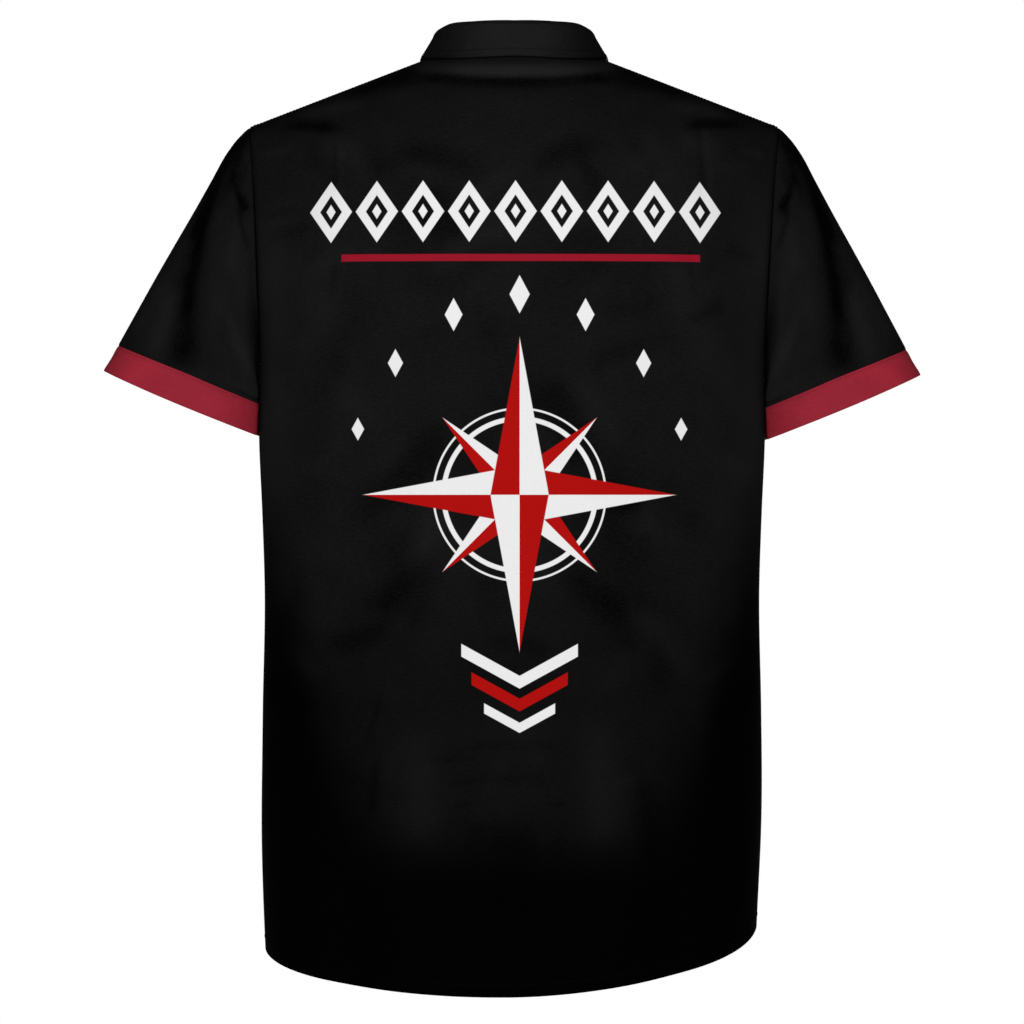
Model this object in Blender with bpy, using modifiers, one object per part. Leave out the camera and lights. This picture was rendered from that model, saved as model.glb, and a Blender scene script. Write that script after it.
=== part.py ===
"""Short-sleeved bowling shirt, buttoned up and filled out as on a general figure, and hollow.

The wearer faces +Y, so the printed back faces -Y. +Z is up, and the origin is on the shoulder line
at the middle of the neck. Sizes are in millimetres and become metres where a mesh is made.
Each piece of cloth is a wall: a grid of outer points, and the same grid moved inwards.
"""

import math

import bmesh
import bpy
import numpy as np
from mathutils import Matrix, Vector

MM = 0.001

# Cloth and seams
CLOTH = 1.5
DOUBLED_CLOTH = 2.0
SEAM = 0.3
NUDGE = 0.01
SHARP_EDGE = 50.0

# Neckline: an oval in plan that cuts the torso's form
NECK_HALF = 72.0
NECK_DEPTH = {"back": 69.0, "front": 78.0}
NECK_SIDE_Z = 1.6
NECK_CROWN = {"back": 23.0, "front": 0.0}

# Shoulders and armholes
SHOULDER_HALF = 214.5
SHOULDER_FALL = 0.385
SHOULDER_ROLL = 115.0
NECK_ROLL = {"back": 115.0, "front": 300.0}
NECK_ROLL_SPREAD = 62.0
ARMPIT_HALF = 205.0
ARMPIT_Z = -228.0
ARMHOLE_CURVE = 2.2

# Torso sections: half width, and depth behind and before the shoulder line. Above the armpit they
# are wider than the armhole's edge, which cuts them.
TORSO_COLUMNS = ("height", "half_width", "back", "front", "squareness")
TORSO = (
    (-780.0, 196.0, 97.0, 108.0, 2.45),
    (-700.0, 199.8, 107.0, 116.0, 2.45),
    (-620.0, 202.7, 115.0, 121.0, 2.45),
    (-530.0, 202.3, 115.0, 120.0, 2.45),
    (-430.0, 200.7, 111.0, 119.0, 2.45),
    (-365.0, 202.7, 112.0, 122.0, 2.5),
    (-310.0, 205.0, 116.0, 126.0, 2.65),
    (-228.0, 205.0, 121.0, 128.0, 2.9),
    (-140.0, 214.5, 120.0, 126.0, 2.9),
    (-50.0, 222.0, 114.0, 121.0, 2.9),
    (20.0, 225.0, 108.0, 116.0, 2.9),
)

# Hem: lowest behind the middle, rising towards the side seams, a little more on the right
HEM_Z = -749.8
HEM_RISE = 41.2
HEM_POWER = 1.31
HEM_SKEW = 9.2
HEM_LEVELLING = 23

# Front edges lap over each other at the middle
LAP = 13.0
LAP_FADE = (16.0, 48.0)

# Grid of a torso panel
NECK_STEPS = 6
SIDE_STEPS = 9
ARMHOLE_STEPS = 12
BODY_STEPS = 12
SPACING_SQUARENESS = 2.6

# Largest folds: a line from one place to another, how far it spreads, and its depth.
# On the torso across and along are x and z. Folds fade out towards the seams over these widths.
FOLD_COLUMNS = ("across_from", "along_from", "across_to", "along_to", "spread", "depth")
FOLD_FADE_SIDE = 25.0
FOLD_FADE_TOP = 16.0
FOLDS = {
    "back": (
        (-50.0, -28.0, 56.0, -28.0, 8.0, 2.5),
        (-70.0, -500.0, -74.0, -690.0, 34.0, -5.0),
        (68.0, -490.0, 70.0, -690.0, 34.0, -5.0),
        (0.0, -560.0, 0.0, -740.0, 30.0, 4.5),
        (-138.0, -470.0, -130.0, -730.0, 26.0, 6.0),
        (140.0, -480.0, 128.0, -730.0, 26.0, 6.0),
        (-145.0, -164.0, -186.0, -262.0, 17.0, -2.6),
        (117.0, -164.0, 172.0, -262.0, 17.0, -2.6),
        (-108.0, -190.0, -142.0, -310.0, 22.0, 3.2),
        (88.0, -190.0, 128.0, -310.0, 22.0, 3.2),
        (-66.0, -312.0, -116.0, -362.0, 20.0, 3.0),
        (28.0, -272.0, 52.0, -322.0, 18.0, 2.6),
    ),
    "front": (
        (-72.0, -480.0, -80.0, -700.0, 32.0, -4.5),
        (70.0, -500.0, 76.0, -700.0, 32.0, -4.5),
        (-140.0, -470.0, -128.0, -730.0, 26.0, 6.0),
        (140.0, -460.0, 130.0, -730.0, 26.0, 6.0),
        (-150.0, -245.0, -70.0, -330.0, 28.0, 4.0),
        (150.0, -245.0, 70.0, -330.0, 28.0, 4.0),
    ),
}

# Sleeve: from the armhole to the band, its upper and under lines in x and z. The right one hangs a
# little lower, and each band's edge bows away from the arm before and behind.
BAND_TOP_OUTER = (317.7, -230.8)
BAND_TOP_UNDER = (206.9, -277.0)
BAND_END_OUTER = (330.7, -251.1)
BAND_END_UNDER = (207.2, -301.4)
SLEEVE_FORWARD = 6.0
RIM_LEAN = 0.6
SLEEVE_COLUMNS = ("share", "crown", "half_depth")
SLEEVE = (
    (0.0, 0.0, 59.0),
    (0.06, 3.6, 60.0),
    (0.13, 5.2, 61.5),
    (0.25, 4.6, 63.0),
    (0.4, 3.8, 63.5),
    (0.55, 3.2, 63.0),
    (0.7, 2.6, 62.0),
    (0.85, 1.6, 61.0),
    (1.0, 0.6, 60.0),
)
BAND_HALF_DEPTH = 60.5
BAND_BOW = 3.4
SLEEVE_DROP = {"left": 0.0, "right": 3.3}
BAND_STEPS = 2

# Folds of a sleeve: across is degrees from its upper line, and along is percent of its length
SLEEVE_FOLD_START = 15.0
SLEEVE_FOLDS = {
    "back": (
        (26.0, 37.0, 45.0, 51.0, 12.0, 6.0),
        (57.0, 67.0, 64.0, 78.0, 13.0, 5.5),
        (80.0, 91.0, 92.0, 98.0, 14.0, 4.0),
    ),
    "front": (
        (30.0, 30.0, 50.0, 46.0, 13.0, 5.0),
        (62.0, 62.0, 72.0, 80.0, 14.0, 4.5),
    ),
}

# Collar: one strip round the neck that stands up, folds over and falls on the shoulders
COLLAR_FOLD_RADIUS = 2.8
COLLAR_LIFT = 1.4
COLLAR_SEAM = 0.42
COLLAR_STEEPEST = 2.5
SLOPE_STEP = 1.0
COLLAR_END_GAP = 3.0
COLLAR_COLUMNS = ("angle", "stand", "lean", "fall_angle", "reach")
COLLAR = (
    (0.0, 27.9, -1.0, 0.0, 9.5),
    (25.0, 28.9, -1.5, 25.0, 9.5),
    (45.0, 28.5, -3.0, 45.0, 8.5),
    (60.0, 24.4, -7.7, 60.0, 6.0),
    (75.0, 20.6, -12.0, 75.0, 3.0),
    (90.0, 18.0, -14.0, 89.0, 0.8),
    (120.0, 15.5, -11.0, 116.0, 12.0),
    (150.0, 9.5, -5.0, 138.0, 25.0),
    (180.0, 5.0, -1.5, 152.0, 37.0),
)
STAND_STEPS = 2
FOLD_STEPS = 3
FALL_STEPS = 4

# Buttons
BUTTON_RADIUS = 5.75
BUTTON_THICK = 2.4
BUTTON_DISH = 0.7
BUTTON_RIM = 1.3
BUTTON_TOP_Z = -90.0
BUTTON_SPACING = 92.0
BUTTON_COUNT = 7
BUTTON_SEGMENTS = 16
BUTTON_SEAT_HALF = 5.0

BLACK_CLOTH = ("black_cloth", (0.0065, 0.0065, 0.0068), 0.85)
RED_CLOTH = ("red_cloth", (0.255, 0.0152, 0.0284), 0.82)
BLACK_HORN = ("black_button", (0.012, 0.012, 0.012), 0.35)


def clear_scene():
    for existing in list(bpy.data.objects):
        bpy.data.objects.remove(existing, do_unlink=True)


def material(name, colour, roughness):
    made = bpy.data.materials.get(name) or bpy.data.materials.new(name)
    made.use_nodes = True
    shader = made.node_tree.nodes["Principled BSDF"]
    shader.inputs["Base Color"].default_value = (*colour, 1.0)
    shader.inputs["Roughness"].default_value = roughness
    shader.inputs["Metallic"].default_value = 0.0
    return made


def curve(table, columns, name, at):
    """Smooth curve through one named column of a table, read at values of its first column."""
    rows = np.array(table)
    knots = rows[:, 0]
    values = rows[:, columns.index(name)]
    slopes = np.gradient(values, knots)
    at = np.clip(at, knots[0], knots[-1])
    low = np.clip(np.searchsorted(knots, at) - 1, 0, len(knots) - 2)
    span = knots[low + 1] - knots[low]
    share = (at - knots[low]) / span
    ends = values[low] * (1 + 2 * share) * (1 - share) ** 2
    ends = ends + values[low + 1] * share**2 * (3 - 2 * share)
    bend = slopes[low] * share * (1 - share) ** 2 - slopes[low + 1] * share**2 * (1 - share)
    return ends + span * bend


def smooth_step(low, high, value):
    share = np.clip((value - low) / (high - low), 0.0, 1.0)
    return share * share * (3 - 2 * share)


def fold_depth(folds, across, along):
    """Sum of soft troughs, each a bell across a line that fades out at both its ends."""
    total = np.zeros(np.broadcast(across, along).shape)
    for row in folds:
        fold = dict(zip(FOLD_COLUMNS, row))
        run_across = fold["across_to"] - fold["across_from"]
        run_along = fold["along_to"] - fold["along_from"]
        from_across = across - fold["across_from"]
        from_along = along - fold["along_from"]
        share = from_across * run_across + from_along * run_along
        share = np.clip(share / (run_across**2 + run_along**2), 0.0, 1.0)
        away = np.hypot(from_across - share * run_across, from_along - share * run_along)
        total = total + fold["depth"] * np.exp(-((away / fold["spread"]) ** 2))
    return total


# The torso's form


def neck_share(x):
    """1 at the middle of the neck's oval, falling to 0 at its sides and beyond."""
    return np.sqrt(np.clip(1 - (x / NECK_HALF) ** 2, 0.0, 1.0))


def crown_height(x, side):
    """Height of the form's crest: the shoulder's slope, and a cubic rise inside the neck."""
    slope = NECK_SIDE_Z - SHOULDER_FALL * np.clip(np.abs(x) - NECK_HALF, 0.0, None)
    share = np.clip(np.abs(x) / NECK_HALF, 0.0, 1.0)
    rise = NECK_CROWN[side] * (2 * share**3 - 3 * share**2 + 1)
    return slope + rise + SHOULDER_FALL * NECK_HALF * share**2 * (1 - share)


def roll_length(x, side):
    """Drop over which the form rolls out from its crest; longest before the neck."""
    beyond = np.clip(np.abs(x) - NECK_HALF, 0.0, None)
    near = np.exp(-((beyond / NECK_ROLL_SPREAD) ** 2))
    return SHOULDER_ROLL + (NECK_ROLL[side] - SHOULDER_ROLL) * near


def section_depth(x, z, side):
    """Depth of a section, a rounded rectangle, before the form rolls in to its crest."""
    half = curve(TORSO, TORSO_COLUMNS, "half_width", z)
    squareness = curve(TORSO, TORSO_COLUMNS, "squareness", z)
    reach = np.clip(np.abs(x) / half, 0.0, 1.0)
    section = np.clip(1 - reach**squareness, 0.0, 1.0) ** (1 / squareness)
    return curve(TORSO, TORSO_COLUMNS, side, z) * section


def top_height(x, side):
    """Height of a panel's top edge: the crest, or where the neck's oval cuts the form."""
    x = np.asarray(x, float)
    edge = NECK_DEPTH[side] * neck_share(x)
    crown = crown_height(x, side)
    height = crown
    for _ in range(5):
        reach = np.clip(edge / section_depth(x, height, side), 0.0, 1.0)
        height = crown - roll_length(x, side) * (1 - np.sqrt(1 - reach**2))
    return height


def armhole_half(rise):
    """Distance of the armhole's edge from the middle, from 0 at the armpit to 1 at the shoulder."""
    return ARMPIT_HALF + (SHOULDER_HALF - ARMPIT_HALF) * rise**ARMHOLE_CURVE


def torso_depth(x, z, side):
    """How far the cloth lies behind or before the shoulder line, at a place seen from the back.

    Below the crest each section rolls in as a quarter of an ellipse. Folds fade out at the edges.
    """
    drop = np.clip((crown_height(x, side) - z) / roll_length(x, side), 0.0, 1.0)
    depth = section_depth(x, z, side) * np.sqrt(1 - (1 - drop) ** 2)
    beside = curve(TORSO, TORSO_COLUMNS, "half_width", z) - np.abs(x)
    inside = smooth_step(0.0, FOLD_FADE_SIDE, beside)
    inside = inside * smooth_step(0.0, FOLD_FADE_TOP, top_height(x, side) - z)
    return depth - fold_depth(FOLDS[side], x, z) * inside


def rest_height(x, y):
    """Height of the torso's cloth over a place in plan, found by halving between two heights."""
    low = np.full(x.shape, ARMPIT_Z)
    high = np.where(y < 0, crown_height(x, "back"), crown_height(x, "front"))
    for _ in range(30):
        middle = (low + high) / 2
        behind = torso_depth(x, middle, "back")
        before = torso_depth(x, middle, "front")
        outside = np.where(y < 0, behind, before) > np.abs(y)
        low = np.where(outside, middle, low)
        high = np.where(outside, high, middle)
    return low


def hem_height(around):
    """Height of the hem, from -1 at the left side seam through 0 behind to 1 at the right.

    It rises as a power of the way round, and the way is bent so that it ends level at the seams.
    """
    way = around * (1 - np.abs(around) ** (HEM_LEVELLING - 1) / HEM_LEVELLING)
    way = way * HEM_LEVELLING / (HEM_LEVELLING - 1)
    return HEM_Z + HEM_RISE * np.abs(way) ** HEM_POWER + HEM_SKEW * way


def neck_turns():
    """Angles of the neck's columns from its middle to its side; the second is at the lap."""
    lap = math.asin(LAP / NECK_HALF)
    return np.concatenate(((0.0,), np.linspace(lap, math.pi / 2, NECK_STEPS)))


def panel_columns(rise):
    """Shares of the half width in each row, from the middle to the edge.

    At the top they are sines across the neck and then even steps round a rounded section. Lower
    down all steps are even. The second column stays where the fronts lap.
    """
    neck_end = NECK_HALF / SHOULDER_HALF
    neck = neck_end * np.sin(neck_turns())
    start = math.asin(neck_end ** (SPACING_SQUARENESS / 2))
    turns = np.linspace(start, math.pi / 2, SIDE_STEPS + 1)[1:]
    top = np.concatenate((neck, np.sin(turns) ** (2 / SPACING_SQUARENESS)))
    first = math.asin(top[1] ** (SPACING_SQUARENESS / 2))
    turns = np.linspace(first, math.pi / 2, NECK_STEPS + SIDE_STEPS)
    even = np.concatenate(((0.0,), np.sin(turns) ** (2 / SPACING_SQUARENESS)))
    return even + (top - even) * smooth_step(0.0, 1.0, rise)[:, None]


def panel_half(side, hand, lap=0.0):
    """Points of half a panel, rows from the hem to the top and columns from the middle out.

    hand is -1 on the left and 1 on the right. A lap adds a column past the middle.
    """
    lower = np.linspace(1.0, 0.0, BODY_STEPS + 1)[:-1]
    rise = (1 - np.cos(np.linspace(0, math.pi, ARMHOLE_STEPS + 1))) / 2
    shares = panel_columns(np.concatenate((0 * lower, rise)))
    if lap:
        shares = np.concatenate((shares[:, :1], shares), axis=1)
    around = np.arcsin(shares[0] ** (SPACING_SQUARENESS / 2)) / (math.pi / 2)
    z_low = ARMPIT_Z + lower[:, None] * (hem_height(hand * around) - ARMPIT_Z)
    x_low = curve(TORSO, TORSO_COLUMNS, "half_width", z_low) * shares[:BODY_STEPS]
    x_high = armhole_half(rise[:, None]) * shares[BODY_STEPS:]
    if lap:
        x_low[:, 0] = x_high[:, 0] = -lap
    z_high = ARMPIT_Z + rise[:, None] * (top_height(x_high, side) - ARMPIT_Z)
    x = np.concatenate((x_low, x_high))
    z = np.concatenate((z_low, z_high))
    depth = torso_depth(x, z, side)
    depth[-1] = depth[-1] + (np.abs(x[-1]) > NECK_HALF - NUDGE) * SEAM / 2
    depth[: BODY_STEPS + 1, -1] = depth[: BODY_STEPS + 1, -1] + SEAM / 2
    y = -depth if side == "back" else depth
    return np.stack((hand * x, y, z), axis=-1)


def sleeve_ring_turns():
    """Angles round the armhole, from 0 at the shoulder over the back to pi and up the front."""
    half = np.linspace(0, math.pi, ARMHOLE_STEPS + 1)
    return np.concatenate((half, half[1:-1] + math.pi))


def armhole_ring():
    """The edge that the panels leave, on the right-hand side."""
    turn = sleeve_ring_turns()
    rise = (1 + np.cos(turn)) / 2
    x = armhole_half(rise)
    z = ARMPIT_Z + rise * (top_height(SHOULDER_HALF, "back") - ARMPIT_Z)
    behind = torso_depth(x, z, "back")
    before = torso_depth(x, z, "front")
    return np.stack((x, np.where(np.sin(turn) > 0, -behind, before), z), axis=-1)


def towards_armhole_middle():
    """Directions in the armhole's plane, square to its edge, that point to its middle."""
    ring = armhole_ring() * (0.0, 1.0, 1.0)
    along = np.roll(ring, -1, axis=0) - np.roll(ring, 1, axis=0)
    square = unit(np.cross(along, (1.0, 0.0, 0.0)))
    return square * np.sign(np.sum(square * (ring.mean(axis=0) - ring), axis=-1))[:, None]


# Walls


def unit(vectors):
    return vectors / np.linalg.norm(vectors, axis=-1, keepdims=True)


def grid_normals(points, closed):
    """Cross product of a grid's two directions; closed joins the last column to the first."""
    if closed:
        wrapped = np.concatenate((points[:, -1:], points, points[:, :1]), axis=1)
        across = np.gradient(wrapped, axis=1)[:, 1:-1]
    else:
        across = np.gradient(points, axis=1)
    return unit(np.cross(across, np.gradient(points, axis=0)))


def new_object(name, vertices, faces, finish):
    mesh = bpy.data.meshes.new(name)
    mesh.from_pydata([tuple(vertex) for vertex in vertices * MM], [], faces)
    shell = bmesh.new()
    shell.from_mesh(mesh)
    bmesh.ops.recalc_face_normals(shell, faces=shell.faces)
    shell.to_mesh(mesh)
    shell.free()
    mesh.shade_smooth()
    mesh.set_sharp_from_angle(angle=math.radians(SHARP_EDGE))
    made = bpy.data.objects.new(name, mesh)
    made.data.materials.append(material(*finish))
    return made


def cloth_wall(name, outer, inwards, thickness, finish, closed=False):
    """Closed wall between a grid of outer points and the same grid moved inwards."""
    rows, columns = outer.shape[:2]
    vertices = np.concatenate((outer.reshape(-1, 3), (outer + inwards * thickness).reshape(-1, 3)))
    number = np.arange(rows * columns).reshape(rows, columns)
    if closed:
        number = np.concatenate((number, number[:, :1]), axis=1)
    corners = (number[:-1, :-1], number[:-1, 1:], number[1:, 1:], number[1:, :-1])
    outside = np.stack(corners, axis=-1).reshape(-1, 4)
    inside = outside[:, ::-1] + rows * columns
    edges = [number[0], number[-1][::-1]]
    if not closed:
        edges = edges + [number[:, 0][::-1], number[:, -1]]
    rims = []
    for edge in edges:
        back = edge + rows * columns
        rims.append(np.stack((edge[1:], edge[:-1], back[:-1], back[1:]), axis=-1))
    faces = np.concatenate((outside, inside, *rims)).tolist()
    return new_object(name, vertices, faces, finish)


# Pieces of the torso


def panel_inwards(points, side, hands):
    """Inward directions of a panel: its normals, and at each seam the seam's own direction."""
    inwards = grid_normals(points, closed=False)
    middle = points.shape[0] // 2
    if inwards[middle, points.shape[1] // 2, 1] * (1 if side == "back" else -1) < 0:
        inwards = -inwards
    shoulder = np.abs(points[-1, :, 0]) > NECK_HALF - NUDGE
    inwards[-1, shoulder] = (0.0, 0.0, -1.0)
    middles = towards_armhole_middle()
    behind = middles[ARMHOLE_STEPS::-1]
    before = np.concatenate((middles[ARMHOLE_STEPS:], middles[:1]))
    for column, hand in hands:
        seam = np.tile((-hand, 0.0, 0.0), (points.shape[0], 1))
        seam[BODY_STEPS:] += behind if side == "back" else before
        inwards[:, column] = unit(seam)
    return inwards


def make_back():
    right = panel_half("back", 1)
    left = panel_half("back", -1)
    points = np.concatenate((left[:, :0:-1], right), axis=1)
    inwards = panel_inwards(points, "back", ((0, -1), (-1, 1)))
    return cloth_wall("back", points, inwards, CLOTH, BLACK_CLOTH)


def make_front(name, hand, under):
    """One front. The one that lies under is moved in by a cloth's thickness at the lap."""
    points = panel_half("front", hand, LAP)
    inwards = panel_inwards(points, "front", ((-1, hand),))
    if under:
        near = 1 - smooth_step(*LAP_FADE, hand * points[..., 0])
        points = points + inwards * (near * (CLOTH + SEAM))[..., None]
    return cloth_wall(name, points, inwards, CLOTH, BLACK_CLOTH)


# Sleeves and bands


def oval_ring(turn, outer, under, half_depth, forward):
    """Oval whose upper point is outer and whose lowest is under, both as x and z."""
    middle = (np.array(outer) + np.array(under)) / 2
    reach = (np.array(outer) - np.array(under)) / 2
    x = middle[0] + reach[0] * np.cos(turn)
    z = middle[1] + reach[1] * np.cos(turn)
    return np.stack((x, forward - half_depth * np.sin(turn), z), axis=-1)


def sleeve_points():
    """Rings of the right sleeve: the armhole's ring passes into ovals as it nears the band."""
    turn = sleeve_ring_turns()
    armhole = armhole_ring()
    outer_end = np.array(BAND_TOP_OUTER)
    under_end = np.array(BAND_TOP_UNDER)
    tip = armhole[0, (0, 2)]
    armpit = armhole[ARMHOLE_STEPS, (0, 2)]
    crown_way = unit(np.array((tip[1] - outer_end[1], outer_end[0] - tip[0])))
    bend = armhole - oval_ring(turn, tip, armpit, SLEEVE[0][2], 0.0)
    rings = []
    for row in SLEEVE:
        share, crown, half_depth = (row[SLEEVE_COLUMNS.index(name)] for name in SLEEVE_COLUMNS)
        outer = tip + (outer_end - tip) * share + crown_way * crown
        under = armpit + (under_end - armpit) * share
        ring = oval_ring(turn, outer, under, half_depth, SLEEVE_FORWARD * share)
        rings.append(ring + bend * (1 - share) ** 2)
    return np.array(rings)


def sleeve_folds():
    """Depth of the sleeve's folds at each of its points; the front's turns are mirrored."""
    percent = np.array(SLEEVE)[:, SLEEVE_COLUMNS.index("share"), None] * 100
    turn = np.degrees(sleeve_ring_turns())[None]
    behind = fold_depth(SLEEVE_FOLDS["back"], turn, percent) * (turn < 180)
    before = fold_depth(SLEEVE_FOLDS["front"], 360 - turn, percent) * (turn > 180)
    return (behind + before) * smooth_step(0.0, SLEEVE_FOLD_START, percent)


def seated_armhole(points, inwards):
    """Moves the first ring off the panels by the seam's gap and turns its rim to match theirs."""
    turn = sleeve_ring_turns()
    lean = RIM_LEAN * (1 + np.cos(turn)) / 2
    rim = unit(towards_armhole_middle() - lean[:, None] * (1.0, 0.0, 0.0))
    along = np.roll(points[0], -1, axis=0) - np.roll(points[0], 1, axis=0)
    away = unit(np.cross(along, rim))
    away = away * np.sign(away[:, :1])
    points[0] = points[0] + away * SEAM
    inwards[0] = rim
    return points, inwards


def mirrored(points, hand):
    return points * (hand, 1.0, 1.0)


def dropped(points, shares, side):
    """Rings of a sleeve, let down by a share of how much lower it hangs."""
    points[..., 2] = points[..., 2] - SLEEVE_DROP[side] * shares
    return points


def make_sleeve(side, hand):
    points = sleeve_points()
    inwards = -grid_normals(points, closed=True)
    points = points + inwards * sleeve_folds()[..., None]
    points, inwards = seated_armhole(points, inwards)
    inwards[-1] = inwards[-1] - band_axis() * (inwards[-1] @ band_axis())[:, None]
    shares = np.array(SLEEVE)[:, SLEEVE_COLUMNS.index("share"), None]
    outer, inner = mirrored(dropped(points, shares, side), hand), mirrored(inwards, hand)
    return cloth_wall(f"sleeve_{side}", outer, inner, CLOTH, BLACK_CLOTH, closed=True)


def band_axis():
    """Direction along the sleeve at its band, square to the band's edges."""
    top = (np.array(BAND_TOP_OUTER) + np.array(BAND_TOP_UNDER)) / 2
    edge = np.array(BAND_END_OUTER) - np.array(BAND_END_UNDER)
    axis = unit(np.array((edge[1], -edge[0])))
    return np.array((axis[0], 0.0, axis[1])) * np.sign(top[0])


def make_band(side, hand):
    """Red band that ends a sleeve: doubled cloth, flush with the sleeve's outside."""
    turn = sleeve_ring_turns()
    sleeve = sleeve_points()
    folded = sleeve - grid_normals(sleeve, closed=True) * sleeve_folds()[..., None]
    top = folded[-1] + band_axis() * SEAM
    end = oval_ring(turn, BAND_END_OUTER, BAND_END_UNDER, BAND_HALF_DEPTH, SLEEVE_FORWARD)
    end = end + band_axis() * (BAND_BOW * np.sin(turn) ** 2)[:, None]
    shares = np.linspace(0, 1, BAND_STEPS + 1)[:, None, None]
    points = top + (end - top) * shares
    inwards = -grid_normals(points, closed=True)
    inwards = unit(inwards - band_axis() * (inwards @ band_axis())[..., None])
    outer, inner = mirrored(dropped(points, 1.0, side), hand), mirrored(inwards, hand)
    return cloth_wall(f"cuff_band_{side}", outer, inner, DOUBLED_CLOTH, RED_CLOTH, closed=True)


# Collar


def neck_ring(angle, grow):
    """Plan of the neckline grown outwards: angle 0 behind, 180 before, in degrees."""
    turn = np.radians(angle)
    depth = np.where(np.cos(turn) > 0, NECK_DEPTH["back"], NECK_DEPTH["front"])
    x = (NECK_HALF + grow) * np.sin(turn)
    return x, -(depth + grow) * np.cos(turn)


def clear_height(x, y):
    """Height over a place in plan that keeps the collar's outside off the torso, square to it."""
    height = rest_height(x, y)
    slope_x = rest_height(x + SLOPE_STEP, y) - rest_height(x - SLOPE_STEP, y)
    slope_y = rest_height(x, y + SLOPE_STEP) - rest_height(x, y - SLOPE_STEP)
    steep = np.minimum(np.hypot(slope_x, slope_y) / (2 * SLOPE_STEP), COLLAR_STEEPEST)
    return height + (COLLAR_LIFT + DOUBLED_CLOTH) * np.sqrt(1 + steep**2)


def collar_half():
    """Right half of the collar from the middle of the back to its front end.

    Each section goes up the stand, over a round fold and down the fall, which keeps clear of
    the shoulder under it. The fall's edge turns less than the neck does, so its end is a point.
    Its columns are the panels' neck columns and one between each two, on the straight at the seam.
    """
    turns = np.degrees(neck_turns())
    corners = np.concatenate((turns, 180 - turns[-2::-1]))
    corners[-1] = 180 - math.degrees(COLLAR_END_GAP / NECK_HALF)
    angle = np.interp(np.arange(2 * len(corners) - 1) / 2, np.arange(len(corners)), corners)
    stand = curve(COLLAR, COLLAR_COLUMNS, "stand", angle)
    lean = curve(COLLAR, COLLAR_COLUMNS, "lean", angle)
    fall_angle = curve(COLLAR, COLLAR_COLUMNS, "fall_angle", angle)
    reach = curve(COLLAR, COLLAR_COLUMNS, "reach", angle)
    side_x, _ = neck_ring(angle, 0.0)
    behind = top_height(side_x, "back")
    before = top_height(side_x, "front")
    seam_z = np.where(angle < 90, behind, before) + COLLAR_SEAM
    fold_z = seam_z + stand
    sections = []
    for share in np.linspace(0, 1, STAND_STEPS + 1):
        x, y = neck_ring(angle, lean * share - DOUBLED_CLOTH)
        sections.append((x, y, seam_z + (stand - COLLAR_FOLD_RADIUS) * share))
    for turn in np.linspace(0, math.pi, FOLD_STEPS + 1)[1:]:
        out = lean - DOUBLED_CLOTH + COLLAR_FOLD_RADIUS * (1 - math.cos(turn))
        x, y = neck_ring(angle, out)
        z = fold_z - COLLAR_FOLD_RADIUS * (1 - math.sin(turn))
        sections.append((x, y, z))
    start_x, start_y, start_z = sections[-1]
    end_x, end_y = neck_ring(fall_angle, reach)
    end_z = clear_height(end_x, end_y)
    for share in np.linspace(0, 1, FALL_STEPS + 1)[1:]:
        x = start_x + (end_x - start_x) * share
        y = start_y + (end_y - start_y) * share
        straight = start_z + (end_z - start_z) * share
        sections.append((x, y, np.maximum(straight, clear_height(x, y))))
    points = np.array(sections).transpose(0, 2, 1)
    points[0, 1::2] = (points[0, :-1:2] + points[0, 2::2]) / 2
    return points


def make_collar():
    right = collar_half()
    left = right * (-1.0, 1.0, 1.0)
    points = np.concatenate((left[:, :0:-1], right), axis=1)
    inwards = -grid_normals(points, closed=False)
    middle = points.shape[1] // 2
    if inwards[-1, middle, 1] < 0:
        inwards = -inwards
    inwards[0] = unit(inwards[0] * (1.0, 1.0, 0.0))
    return cloth_wall("collar", points, inwards, DOUBLED_CLOTH, BLACK_CLOTH)


# Buttons


def make_button(number):
    """Turned disc with a raised rim, seated on the left front and square to it."""
    height = BUTTON_TOP_Z - number * BUTTON_SPACING
    mesh = bpy.data.meshes.new(f"button_{number + 1}")
    rim = BUTTON_RADIUS - BUTTON_RIM
    profile = (
        (0.0, BUTTON_THICK - BUTTON_DISH),
        (rim - BUTTON_DISH, BUTTON_THICK - BUTTON_DISH),
        (rim, BUTTON_THICK),
        (BUTTON_RADIUS, BUTTON_THICK - BUTTON_DISH),
        (BUTTON_RADIUS, BUTTON_DISH),
        (rim, 0.0),
        (0.0, 0.0),
    )
    vertices = [(radius * MM, 0.0, z * MM) for radius, z in profile]
    edges = [(i, i + 1) for i in range(len(profile) - 1)]
    mesh.from_pydata(vertices, edges, [])
    button = bpy.data.objects.new(mesh.name, mesh)
    turned = button.modifiers.new("turned", "SCREW")
    turned.steps = BUTTON_SEGMENTS
    turned.render_steps = BUTTON_SEGMENTS
    turned.use_merge_vertices = True
    turned.merge_threshold = 0.00001
    mesh.materials.append(material(*BLACK_HORN))
    heights = np.array((height - BUTTON_SEAT_HALF, height + BUTTON_SEAT_HALF))
    low, high = torso_depth(np.zeros(2), heights, "front")
    outwards = Vector((0.0, 2 * BUTTON_SEAT_HALF, low - high)).normalized()
    seat = Vector((0.0, (low + high) / 2, height)) + outwards * SEAM
    turn = Vector((0.0, 0.0, 1.0)).rotation_difference(outwards)
    button.matrix_world = Matrix.Translation(seat * MM) @ turn.to_matrix().to_4x4()
    return button


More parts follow.
